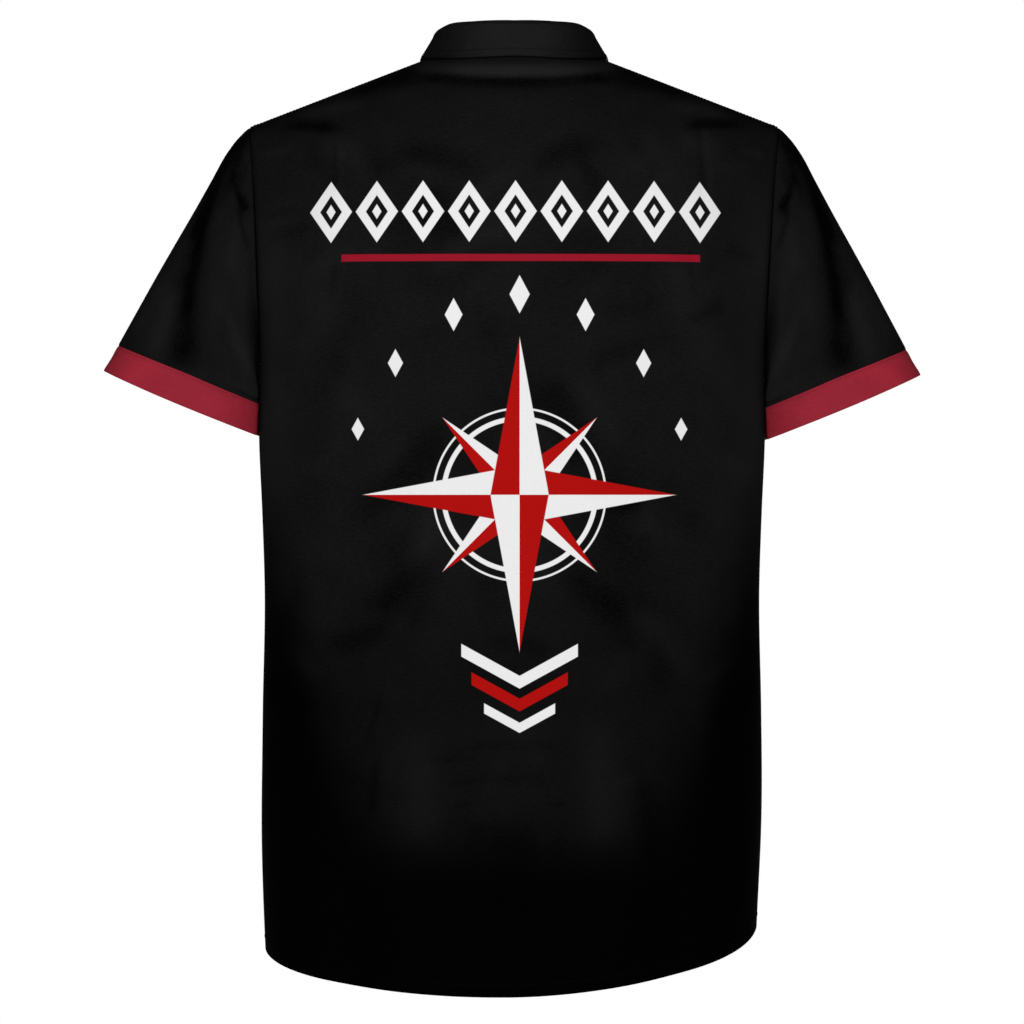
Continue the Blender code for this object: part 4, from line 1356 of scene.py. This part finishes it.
def relief(panel, side):
    """Outward height over a panel: creases, the turned hem, and the swell beside each seam.

    The second result is the painted light and shade that the creases, the largest folds, the table
    of painted shades, the shoulder's crest, the armhole seam and the hem's stitches give the
    cloth's colour.
    """
    x, z = panel.points[..., 0], panel.points[..., 2]
    creases = crease_depth(CREASES[side], x, z)
    slack = crease_depth(slack_creases(SLACK_SEED[side]), x, z)
    near_side = smooth_step(0.0, FLAT_AT_SIDE, panel.from_side)
    near_top = smooth_step(0.0, FLAT_AT_TOP, panel.from_top)
    near_hem = smooth_step(HEM_WIDTH * 0.4, HEM_WIDTH * 2.4, panel.from_hem)
    height = -(creases + slack * near_hem) * near_side * near_top
    folds = fold_depth(FOLDS[side], x, z)
    # painted shade in creases and deep folds and painted light on ridges, then the table's painted
    # shade and light
    tone = np.tanh(height * CREASE_TONE - FOLD_TONE * folds * near_side)
    tone = tone - crease_depth(PAINTED_SHADES[side], x, z)
    # painted shade along the shoulder's crest, beyond the neck
    shoulder = bell(panel.from_top / SHOULDER_SHADE_WIDE)
    tone = tone - SHOULDER_SHADE * shoulder * smooth_step(*SHOULDER_SHADE_FROM, np.abs(x))
    in_armhole = smooth_step(ARMPIT_Z - ARMPIT_BLEND, ARMPIT_Z + ARMPIT_BLEND, z)
    swell = bell((panel.from_side - SEAM_SWELL_AWAY) / SEAM_SWELL_WIDE)
    height = height + SEAM_SWELL * swell * in_armhole * smooth_step(0.0, 1.2, panel.from_side)
    groove = np.exp(-panel.from_side / SEAM_GROOVE)
    height = height - SEAM_GROOVE_DEEP * groove * in_armhole
    # painted light on the swell beside the armhole seam, painted shade in its groove
    tone = tone + (0.1 * swell - 1.5 * groove) * in_armhole
    step = 1 - smooth_step(HEM_WIDTH - 0.8, HEM_WIDTH + 1.6, panel.from_hem)
    height = height + HEM_STEP * step * smooth_step(0.0, 1.5, panel.from_hem) * near_side
    # a dent along the hem's stitches, with painted shade in it
    stitched = bell(panel.from_hem - HEM_WIDTH + 1) * near_side
    return height - SEWN_DEPTH * stitched, tone - SEWN_TONE * stitched


def outward_normals(points):
    """Normals of a panel's grid, turned away from the middle of the shirt."""
    normals = grid_normals(points, closed=False)
    row, column = points.shape[0] // 2, points.shape[1] // 2
    away = normals[row, column, 1] * points[row, column, 1] > 0
    return normals if away else -normals


def shaped(points, height):
    """Points moved out along the surface's normals by a height."""
    return points + outward_normals(points) * height[..., None]


def panel_inwards(points, panel, side, hand):
    """Inward directions: the normals, turned near each seam to the seam's own direction."""
    inwards = -outward_normals(points)
    shoulder = np.abs(points[-1, :, 0]) > NECK_HALF - NUDGE
    inwards[-1, shoulder] = (0.0, 0.0, -1.0)
    middles = towards_armhole_middle()
    half = steps(ARMHOLE_STEPS)
    behind = middles[half::-1]
    before = np.concatenate((middles[half:], middles[:1]))
    seam = np.tile((-hand, 0.0, 0.0), (points.shape[0], 1))
    seam[panel.body_rows :] += behind if side == "back" else before
    near = np.exp(-panel.from_side / SEAM_TURN)[..., None]
    near[: panel.body_rows] *= panel.from_side[: panel.body_rows, :, None] < NUDGE
    return unit(inwards * (1 - near) + unit(seam)[:, None] * near)


def make_back():
    """The back, from side seam to side seam. Its middle column belongs to the right half."""
    panel = joined(Panel("back", -1), Panel("back", 1))
    height, tone = relief(panel, "back")
    outer = shaped(panel.points, height)
    half = outer.shape[1] // 2
    left, right = np.s_[: half + 1], np.s_[half:]
    left_inwards = panel_inwards(outer[:, left], cut(panel, left), "back", -1)
    right_inwards = panel_inwards(outer[:, right], cut(panel, right), "back", 1)
    inwards = np.concatenate((left_inwards[:, :-1], right_inwards), axis=1)
    piece = cloth_piece(
        "back_panel", "back", outer, inwards, CLOTH, printed, black, tone
    )
    panel.outer = outer
    panel.outwards = -inwards
    return piece, panel


def make_front(name, node, hand, under):
    """One front. The one that lies under is moved in by a cloth's thickness at the lap."""
    panel = Panel("front", hand, LAP)
    height, tone = relief(panel, "front")
    outer = shaped(panel.points, height)
    inwards = panel_inwards(outer, panel, "front", hand)
    if under:
        near = 1 - smooth_step(*LAP_FADE, hand * panel.points[..., 0])
        outer = outer + inwards * (near * (CLOTH + SEAM))[..., None]
    piece = cloth_piece(name, node, outer, inwards, CLOTH, black, black, tone)
    panel.outer = outer
    panel.outwards = -inwards
    return piece, panel


def panel_path(panel, rows, columns):
    """Path over a panel at fractional rows and columns, and the way out of the cloth along it."""
    return on_grid(panel.outer, rows, columns), on_grid(panel.outwards, rows, columns)


def hem_path(panel):
    """Path along the stitches of the hem, from one side of a panel to the other."""
    columns = np.arange(panel.outer.shape[1])
    rows = crossing_rows(panel.from_hem, HEM_WIDTH - 1.0)
    return panel_path(panel, rows, columns.astype(float))


def shoulder_path(panel, away, columns):
    """Path beside a shoulder seam: where the cloth lies a little below the crest."""
    lengths = np.linalg.norm(np.diff(panel.outer[:, columns], axis=0), axis=-1)[::-1]
    run = np.concatenate((np.zeros((1, len(columns))), np.cumsum(lengths, axis=0)))
    rows = panel.outer.shape[0] - 1 - crossing_rows(run, away)
    return panel_path(panel, rows, columns.astype(float))


def front_edge_path(panel, away):
    """Path down a front's edge."""
    rows = np.arange(4, panel.outer.shape[0] - 4)
    place = np.abs(panel.points[rows][..., 0] - panel.points[rows][:, :1, 0])
    at = crossing_rows(place.T, away)
    return panel_path(panel, rows.astype(float), at)


# Sleeves and bands


def oval_ring(turn, outer, under, half_depth, forward):
    """Oval whose upper point is outer and whose lowest is under, both as x and z."""
    middle = (np.array(outer) + np.array(under)) / 2
    reach = (np.array(outer) - np.array(under)) / 2
    x = middle[0] + reach[0] * np.cos(turn)
    z = middle[1] + reach[1] * np.cos(turn)
    return np.stack((x, forward - half_depth * np.sin(turn), z), axis=-1)


def pressed(ring, turn, share):
    """A sleeve's ring with its underside pressed to the body: bells beside its lowest line."""
    beside = np.abs(np.degrees(turn) - 180) - PRESS_TURN
    beside = beside / np.where(beside < 0, *PRESS_SPREAD)
    down = unit((ring[steps(ARMHOLE_STEPS)] - ring[0]) * (1.0, 0.0, 1.0))
    depth = smooth_step(0.05, 0.85, share) * np.where(turn < math.pi, *PRESS_DEPTH)
    depth = depth * bell(beside)
    return ring + depth[:, None] * down


def sleeve_shares():
    """Shares of a sleeve's length: even rings, with a few close ones at each end."""
    even = even_shares(SLEEVE_STEPS)
    return np.sort(np.concatenate((even, SLEEVE_END_SHARES)))


def sleeve_points(shares):
    """Rings of the right sleeve: the armhole's ring passes into ovals as it nears the band."""
    turn = sleeve_ring_turns()
    armhole = armhole_ring()
    outer_end = np.array(BAND_TOP_OUTER)
    under_end = np.array(BAND_TOP_UNDER)
    tip = armhole[0, (0, 2)]
    armpit = armhole[steps(ARMHOLE_STEPS), (0, 2)]
    crown_way = unit(np.array((tip[1] - outer_end[1], outer_end[0] - tip[0])))
    bend = armhole - oval_ring(turn, tip, armpit, SLEEVE[0][2], 0.0)
    rings = []
    for share in shares:
        crown = curve(SLEEVE, SLEEVE_COLUMNS, "crown", share)
        half_depth = curve(SLEEVE, SLEEVE_COLUMNS, "half_depth", share)
        outer = tip + (outer_end - tip) * share + crown_way * crown
        under = armpit + (under_end - armpit) * share - (UNDER_BOW * math.sin(math.pi * share), 0.0)
        ring = oval_ring(turn, outer, under, half_depth, SLEEVE_FORWARD * share)
        rings.append(pressed(ring + bend * (1 - share) ** 2, turn, share))
    return np.array(rings)


def sleeve_relief(shares):
    """Inward depth of a sleeve's folds, creases and seams; the front's turns are mirrored.

    The second result is the painted light and shade that they and the sleeve's table of painted
    shades give the cloth's colour.
    """
    percent = shares[:, None] * 100
    turn = np.degrees(sleeve_ring_turns())[None]
    behind, before = turn < 180, turn > 180
    folds = fold_depth(SLEEVE_FOLDS["back"], turn, percent) * behind
    folds = folds + fold_depth(SLEEVE_FOLDS["front"], 360 - turn, percent) * before
    folds = folds * smooth_step(0.0, SLEEVE_FOLD_START, percent)
    creases = crease_depth(SLEEVE_CREASES["back"], turn, percent) * behind
    creases = creases + crease_depth(SLEEVE_CREASES["front"], 360 - turn, percent) * before
    flatter = SLEEVE_END_FLAT * smooth_step(SLEEVE_END_FLAT_FROM, 100.0, percent)
    ends = smooth_step(0.0, SLEEVE_CREASE_START, percent) * (1 - flatter)
    swell = SEAM_SWELL * bell((percent - SLEEVE_SWELL_AT) / SLEEVE_SWELL_WIDE)
    swell = swell * smooth_step(0.0, 0.8, percent)
    groove = np.exp(-percent / SLEEVE_GROOVE)
    tuck = SLEEVE_END_IN * smooth_step(SLEEVE_END_IN_FROM, 100.0, percent)
    # painted shade and light from the table, then painted shade in troughs and the seam's groove
    # and painted light on ridges
    shade = crease_depth(SLEEVE_PAINTED_SHADES, np.where(behind, turn, 360 - turn), percent)
    bent = np.tanh(creases * ends * SLEEVE_CREASE_TONE + folds * SLEEVE_FOLD_TONE)
    tone = -SLEEVE_TONE * bent - shade - SLEEVE_GROOVE_TONE * groove
    return folds + creases * ends - swell + tuck + SEAM_GROOVE_DEEP * groove, tone


def band_axis():
    """Direction along the sleeve at its band, square to the band's edges."""
    top = (np.array(BAND_TOP_OUTER) + np.array(BAND_TOP_UNDER)) / 2
    edge = np.array(BAND_END_OUTER) - np.array(BAND_END_UNDER)
    axis = unit(np.array((edge[1], -edge[0])))
    return np.array((axis[0], 0.0, axis[1])) * np.sign(top[0])


def mirrored(points, hand):
    """Points of the right sleeve, or their mirror image for the left one."""
    return points * (hand, 1.0, 1.0)


def dropped(points, shares, side):
    """Rings of a sleeve, let down by a share of how much lower it hangs."""
    points[..., 2] = points[..., 2] - SLEEVE_DROP[side] * shares
    return points


def make_sleeve(side, hand):
    """A sleeve: its rings, pressed in by the relief, with its end tucked into the band."""
    shares = sleeve_shares()
    points = sleeve_points(shares)
    inwards = -grid_normals(points, closed=True)
    depth, tone = sleeve_relief(shares)
    points = points + inwards * depth[..., None]
    inwards = -grid_normals(points, closed=True)
    turn = sleeve_ring_turns()
    lean = RIM_LEAN * (1 + np.cos(turn)) / 2
    rim = unit(towards_armhole_middle() - lean[:, None] * (1.0, 0.0, 0.0))
    along = np.roll(points[0], -1, axis=0) - np.roll(points[0], 1, axis=0)
    away = unit(np.cross(along, rim))
    away = away * np.sign(away[:, :1])
    points[0] = points[0] + away * SEAM
    near = np.exp(-shares * SLEEVE_LONG / SEAM_TURN)[:, None, None]
    inwards = unit(inwards * (1 - near) + rim * near)
    inwards[-1] = unit(inwards[-1] - band_axis() * (inwards[-1] @ band_axis())[:, None])
    tucked = points[-1:] + band_axis() * SLEEVE_TUCK + inwards[-1:] * SLEEVE_TUCK_DEEP
    points = np.concatenate((points, tucked))
    inwards = np.concatenate((inwards, inwards[-1:]))
    tone = np.broadcast_to(np.concatenate((tone, tone[-1:])), points.shape[:2])
    points = dropped(points, np.append(shares, 1.0)[:, None], side)
    outer, inner = mirrored(points, hand), mirrored(inwards, hand)
    node = f"sleeve_{side}"
    name, slot = f"{node}_cloth", "black_cloth"
    return cloth_piece(name, node, outer, inner, CLOTH, black, black, tone, closed=True)


def make_band(side, hand):
    """Red band that ends a sleeve: doubled cloth with a soft rolled edge, and its stitching."""
    turn = sleeve_ring_turns()
    shares = np.array((0.99, 1.0))
    sleeve = sleeve_points(shares)
    folds = sleeve_relief(shares)[0] - SLEEVE_END_IN
    folded = sleeve - grid_normals(sleeve, closed=True) * folds[..., None]
    top = folded[-1] + band_axis() * SEAM
    end = oval_ring(turn, BAND_END_OUTER, BAND_END_UNDER, BAND_HALF_DEPTH, SLEEVE_FORWARD)
    end = pressed(end + band_axis() * (BAND_BOW * np.sin(turn) ** 2)[:, None], turn, 1.0)
    way = np.sort(np.concatenate((even_shares(BAND_STEPS), BAND_EDGE_WAYS)))
    points = top + (end - top) * way[:, None, None]
    inwards = -grid_normals(points, closed=True)
    inwards = unit(inwards - band_axis() * (inwards @ band_axis())[..., None])
    share = way[:, None]
    roll = BAND_TOP_ROLL * (1 - smooth_step(0.0, BAND_TOP_ROLL_TO, share))
    roll = roll + BAND_END_ROLL * smooth_step(BAND_END_ROLL_FROM, 1.0, share)
    pinch = BAND_PINCH * bell((share - BAND_STITCH_WAY) / BAND_PINCH_WIDE)
    ripple = np.sin(turn[None] * 5 + 0.7) * 0.5 + np.sin(turn[None] * 11 + share * 2) * 0.25
    ripple = ripple * smooth_step(0.0, 0.5, share)
    points = points + inwards * (roll + pinch + ripple)[..., None]
    # Painted light over the band's top and painted shade under it, with painted shade in its pinch,
    # roll and the dips of its ripples
    beside = np.degrees(np.minimum(turn, 2 * math.pi - turn))[None]
    above, below = bell(beside / BAND_LIT_TURN), bell((180 - beside) / BAND_LIT_TURN)
    lit = BAND_LIT_ABOVE * above - BAND_DARK_BELOW * below
    tone = lit - BAND_DARKER - (pinch + 0.5 * roll + 0.6 * ripple)
    points = dropped(points, 1.0, side)
    outer, inner = mirrored(points, hand), mirrored(inwards, hand)
    node = f"cuff_band_{side}"
    name, slot = f"{node}_cloth", "red_cloth"
    piece = cloth_piece(name, node, outer, inner, DOUBLED_CLOTH, red, red, tone, closed=True)
    row = np.argmin(np.abs(way - BAND_STITCH_WAY))
    path, out = ringed(outer)[row], -ringed(inner)[row]
    return piece, stitches(f"{node}_topstitch", [path], [out], red_thread, slot)


# Collar


def neck_ring(angle, grow):
    """Plan of the neckline grown outwards: angle 0 behind, 180 before, in degrees."""
    turn = np.radians(angle)
    depth = np.where(np.cos(turn) > 0, NECK_DEPTH["back"], NECK_DEPTH["front"])
    x = (NECK_HALF + grow) * np.sin(turn)
    return x, -(depth + grow) * np.cos(turn)


def clear_height(x, y):
    """Height over a place in plan that keeps the collar's outside off the torso, square to it.

    Its tips stand off a little further than the rest.
    """
    height = rest_height(x, y)
    slope_x = rest_height(x + SLOPE_STEP, y) - rest_height(x - SLOPE_STEP, y)
    slope_y = rest_height(x, y + SLOPE_STEP) - rest_height(x, y - SLOPE_STEP)
    steep = np.minimum(np.hypot(slope_x, slope_y) / (2 * SLOPE_STEP), COLLAR_STEEPEST)
    lift = COLLAR_LIFT + COLLAR_TIP_LIFT * smooth_step(*COLLAR_TIP_FROM, y)
    return height + (lift + DOUBLED_CLOTH) * np.sqrt(1 + steep**2)


def collar_half():
    """Right half of the collar from the middle of the back to its front end.

    Each section goes up the stand, over a round fold and down the fall, which keeps clear of
    the shoulder under it. The fall's edge turns less than the neck does, so its end is a point.
    """
    last = 180 - math.degrees(COLLAR_END_GAP / NECK_HALF)
    angle = np.linspace(0, last, steps(COLLAR_STEPS) + 1)
    angle = np.sort(np.concatenate((angle, last - np.array(COLLAR_END_TURNS))))
    stand = curve(COLLAR, COLLAR_COLUMNS, "stand", angle)
    lean = curve(COLLAR, COLLAR_COLUMNS, "lean", angle)
    fall_angle = curve(COLLAR, COLLAR_COLUMNS, "fall_angle", angle)
    reach = curve(COLLAR, COLLAR_COLUMNS, "reach", angle)
    side_x, _ = neck_ring(angle, -DOUBLED_CLOTH * (1 - smooth_step(52.0, 70.0, angle)))
    behind = top_height(side_x, "back")
    before = top_height(side_x, "front")
    seam_z = np.where(angle < 90, behind, before) + COLLAR_SEAM
    fold_z = seam_z + stand
    sections = []
    for share in even_shares(STAND_STEPS):
        x, y = neck_ring(angle, lean * share - DOUBLED_CLOTH)
        sections.append((x, y, seam_z + (stand - COLLAR_FOLD_RADIUS) * share))
    for turn in np.linspace(0, math.pi, steps(FOLD_STEPS) + 1)[1:]:
        out = lean - DOUBLED_CLOTH + COLLAR_FOLD_RADIUS * (1 - math.cos(turn))
        x, y = neck_ring(angle, out)
        z = fold_z - COLLAR_FOLD_RADIUS * (1 - math.sin(turn))
        sections.append((x, y, z))
    start_x, start_y, start_z = sections[-1]
    end_x, end_y = neck_ring(fall_angle, reach)
    end_z = clear_height(end_x, end_y)
    fall = np.sort(np.concatenate((even_shares(FALL_STEPS)[1:], COLLAR_EDGE_SHARES)))
    for share in fall:
        x = start_x + (end_x - start_x) * share
        y = start_y + (end_y - start_y) * share
        straight = start_z + (end_z - start_z) * share
        sections.append((x, y, np.maximum(straight, clear_height(x, y))))
    return np.array(sections).transpose(0, 2, 1), len(fall)


def make_collar():
    """The collar: both halves in one strip, its edge rolled, stitched and softly waved."""
    right, fall = collar_half()
    left = right * (-1.0, 1.0, 1.0)
    points = np.concatenate((left[:, :0:-1], right), axis=1)
    inwards = -grid_normals(points, closed=False)
    middle = points.shape[1] // 2
    if inwards[-1, middle, 1] < 0:
        inwards = -inwards
    inwards[0] = unit(inwards[0] * (1.0, 1.0, 0.0))
    lengths = np.linalg.norm(np.diff(points, axis=0), axis=-1)
    from_edge = np.cumsum(lengths[::-1], axis=0)[::-1]
    from_edge = np.concatenate((from_edge, np.zeros((1, points.shape[1]))))
    widths = np.linalg.norm(np.diff(points, axis=1), axis=-1)
    run = np.concatenate((np.zeros((points.shape[0], 1)), np.cumsum(widths, axis=1)), axis=1)
    from_end = np.minimum(run, run[:, -1:] - run)
    on_fall = np.zeros(points.shape[:2])
    on_fall[-fall:] = 1
    close = np.minimum(from_edge, from_end)
    pinch = COLLAR_PINCH * bell((close - COLLAR_STITCH) / COLLAR_PINCH_WIDE) * on_fall
    roll = COLLAR_ROLL * np.exp(-close / COLLAR_ROLL_WIDE) * on_fall
    fading = np.exp(-from_edge / COLLAR_WAVE_DEEP)
    wave = COLLAR_WAVE * np.sin(run / COLLAR_WAVE_LONG) * fading * on_fall
    wave = wave * smooth_step(0.0, 3.0, close)
    points = points + inwards * (pinch + roll)[..., None] - inwards * np.abs(wave)[..., None]
    # painted light on the fall, less towards its ends, and painted shade in its pinch and along its
    # edge
    aside = smooth_step(*COLLAR_PAINTED_LIGHT_FROM, np.abs(points[..., 0]))
    painted_collar_light = COLLAR_PAINTED_LIGHT - COLLAR_PAINTED_LIGHT_DROP * aside
    collar_edge_shade = COLLAR_EDGE_SHADE * np.exp(-from_edge / COLLAR_EDGE_SHADE_WIDE)
    tone = painted_collar_light * on_fall - pinch - collar_edge_shade
    slot = "black_cloth"
    piece = cloth_piece(
        "collar_cloth", "collar", points, inwards, DOUBLED_CLOTH, black, black, tone
    )
    columns = np.arange(points.shape[1], dtype=float)
    keep = from_end[-1] > COLLAR_STITCH
    rows = points.shape[0] - 1 - crossing_rows(from_edge[::-1], COLLAR_STITCH)
    edge = on_grid(points, rows[keep], columns[keep])
    edge_out = -on_grid(inwards, rows[keep], columns[keep])
    return piece, stitches("collar_topstitch", [edge], [edge_out], black_thread, slot)


# Buttons


def button_seat(number):
    """Where a button's underside meets the front, and the way out of the cloth there."""
    height = BUTTON_TOP_Z - number * BUTTON_SPACING
    heights = np.array((height - BUTTON_SEAT_HALF, height + BUTTON_SEAT_HALF))
    low, high = torso_depth(np.zeros(2), heights, "front")
    outwards = unit(np.array((0.0, 2 * BUTTON_SEAT_HALF, low - high)))
    return np.array((0.0, (low + high) / 2, height)) + outwards * SEAM, outwards


def button_rings():
    """Rings of a turned button with a dished face, each a circle; four holes are pressed in."""
    turn = np.linspace(0, 2 * math.pi, 48, endpoint=False)
    rim = BUTTON_RADIUS - BUTTON_RIM
    face = BUTTON_THICK - BUTTON_DISH
    inner = [(r, face) for r in np.linspace(0.05, rim - BUTTON_DISH, 15)]
    outline = inner + [
        (rim - 0.35, face + 0.35 * BUTTON_DISH),
        (rim, BUTTON_THICK - 0.12),
        (rim + 0.4, BUTTON_THICK),
        (BUTTON_RADIUS - 0.35, BUTTON_THICK - 0.2),
        (BUTTON_RADIUS, BUTTON_THICK - BUTTON_DISH),
        (BUTTON_RADIUS, BUTTON_DISH),
        (BUTTON_RADIUS - 0.35, 0.2),
        (rim, 0.0),
        (0.05, 0.0),
    ]
    radius, height = (np.array(part)[:, None] for part in zip(*outline))
    x, y = radius * np.cos(turn), radius * np.sin(turn)
    z = np.broadcast_to(height, x.shape).copy()
    away = BUTTON_HOLE_AWAY / math.sqrt(2)
    for sign_x in (-1, 1):
        for sign_y in (-1, 1):
            off = np.hypot(x - sign_x * away, y - sign_y * away)
            pressed = 1 - smooth_step(BUTTON_HOLE_RADIUS * 0.7, BUTTON_HOLE_RADIUS * 1.15, off)
            z[: len(inner)] -= (BUTTON_HOLE_DEEP * pressed)[: len(inner)]
    return np.stack((x, y, z), axis=-1)


def button_frame(outwards):
    """Directions across and up a button's face."""
    across = np.array((1.0, 0.0, 0.0))
    return np.stack((across, np.cross(outwards, across), outwards))


def make_button(number):
    """A button: its rings turned to the front's slope, closed above and below by flat caps."""
    seat, outwards = button_seat(number)
    rings = button_rings() @ button_frame(outwards) + seat
    count, around = rings.shape[:2]
    index = np.arange(count * around).reshape(count, around)
    caps = []
    for ring in (index[0], index[-1][::-1]):
        half = around // 2
        first, second = ring[:half], ring[::-1][:half]
        caps.append(np.stack((first[1:], first[:-1], second[:-1], second[1:]), axis=-1))
    faces = np.concatenate((cells(ringed(index)), *caps))
    node = f"button_{number + 1}"
    vertices = rings.reshape(-1, 3)
    piece = new_piece(f"{node}_turned", vertices, faces, (horn,), sharp=55)
    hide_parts(node)


def button_sewing():
    """Two bars of thread through each button's holes, and the worked edge of its buttonhole."""
    away = BUTTON_HOLE_AWAY / math.sqrt(2)
    threads = [((across, -away), (across, away)) for across in (-away, away)]
    edges = [
        ((across - BUTTONHOLE_EDGE_HALF, up), (across + BUTTONHOLE_EDGE_HALF, up))
        for across in (-BUTTONHOLE_EDGE_AWAY, BUTTONHOLE_EDGE_AWAY)
        for up in np.linspace(-BUTTONHOLE_HALF, BUTTONHOLE_HALF, BUTTONHOLE_STITCHES)
    ]
    face = BUTTON_THICK - BUTTON_DISH - BUTTON_SEWN_DEEP
    sewing = (
        # name, slot, bars over the button's face, their height, pitch and length
        ("button_thread", "black_button", threads, face, 3.0, 2.5),
        ("buttonhole_edges", "black_cloth", edges, BUTTON_SEWN_DEEP - SEAM, 9.0, 1.5),
    )
    for name, slot, bars, height, pitch, length in sewing:
        paths, outs = [], []
        for number in range(BUTTON_COUNT):
            seat, outwards = button_seat(number)
            turned = button_frame(outwards)[:2]
            for bar in bars:
                paths.append(np.array(bar) @ turned + seat + outwards * height)
                outs.append(np.tile(outwards, (2, 1)))
        stitches(name, paths, outs, black_thread, slot, pitch, length)


# Assembly


def sew_torso():
    """The back and both fronts, each with its rows of stitches."""
    back, back_panel = make_back()
    left, left_panel = make_front("front_left_panel", "front_left", -1, False)
    right, right_panel = make_front("front_right_panel", "front_right", 1, True)
    last = back_panel.outer.shape[1] - 1
    paths = [hem_path(back_panel)]
    inner = steps(SIDE_STEPS)
    for columns in (np.arange(0, inner), np.arange(last, last - inner, -1)):
        outside = columns[np.abs(back_panel.points[-1, columns, 0]) > NECK_HALF + 1]
        paths.append(shoulder_path(back_panel, SHOULDER_STITCH, np.sort(outside)))
    sewn = [stitches("back_topstitch", *zip(*paths), black_thread, "black_cloth")]
    pieces = [(back, sewn)]
    for name, piece, panel in (("left", left, left_panel), ("right", right, right_panel)):
        paths = [hem_path(panel), front_edge_path(panel, FRONT_STITCH)]
        name = f"front_{name}_topstitch"
        pieces.append((piece, [stitches(name, *zip(*paths), black_thread, "black_cloth")]))
    return pieces


torso = sew_torso()
for side, hand in (("left", -1), ("right", 1)):
    sleeve = make_sleeve(side, hand)
    band, band_stitches = make_band(side, hand)
collar, collar_stitches = make_collar()
for number in range(BUTTON_COUNT):
    make_button(number)
button_sewing()


# Stage


def make_floor():
    """A square floor far under the hem."""
    corners = np.array(((-1, -1), (1, -1), (1, 1), (-1, 1))) * FLOOR_HALF
    vertices = [(x, y, -SHOULDER_ABOVE_FLOOR) for x, y in corners]
    mesh = bpy.data.meshes.new("floor")
    mesh.from_pydata(vertices, [], [(0, 1, 2, 3)])
    mesh.materials.append(floor_paint)
    floor = bpy.data.objects.new("floor", mesh)
    bpy.context.scene.collection.objects.link(floor)


def soft_light(name, place, aim, size, power):
    """A square light that points at a place and isn't seen itself."""
    data = bpy.data.lights.new(name, "AREA")
    data.shape = "SQUARE"
    data.size = size
    data.energy = power
    light = bpy.data.objects.new(name, data)
    light.location = place
    light.rotation_euler = (Vector(aim) - Vector(place)).to_track_quat("-Z", "Y").to_euler()
    light.visible_camera = False
    bpy.context.scene.collection.objects.link(light)


def make_camera():
    """A camera level with the shirt's middle, straight behind it."""
    data = bpy.data.cameras.new("camera")
    data.sensor_width = SENSOR
    data.lens = SENSOR * CAMERA_AWAY / VIEW_WIDTH
    data.clip_start, data.clip_end = CLIP
    camera = bpy.data.objects.new("camera", data)
    camera.location = (0, -CAMERA_AWAY, CAMERA_Z)
    camera.rotation_euler = (math.pi / 2, 0, 0)
    bpy.context.scene.collection.objects.link(camera)
    bpy.context.scene.camera = camera


def light_room():
    """White room: bright where it is seen, and softer as light on the cloth."""
    world = bpy.data.worlds.new("room")
    world.use_nodes = True
    bpy.context.scene.world = world
    nodes, links = world.node_tree.nodes, world.node_tree.links
    background = nodes["Background"]
    background.inputs["Color"].default_value = (1, 1, 1, 1)
    path = nodes.new("ShaderNodeLightPath")
    level = nodes.new("ShaderNodeMapRange")
    level.inputs["To Min"].default_value = LIGHT_ON_CLOTH
    level.inputs["To Max"].default_value = LIGHT_SEEN
    links.new(path.outputs["Is Camera Ray"], level.inputs["Value"])
    links.new(level.outputs["Result"], background.inputs["Strength"])


make_floor()
make_camera()
light_room()
for light in LIGHTS:
    soft_light(*light)
bpy.context.scene.view_settings.view_transform = "Standard"
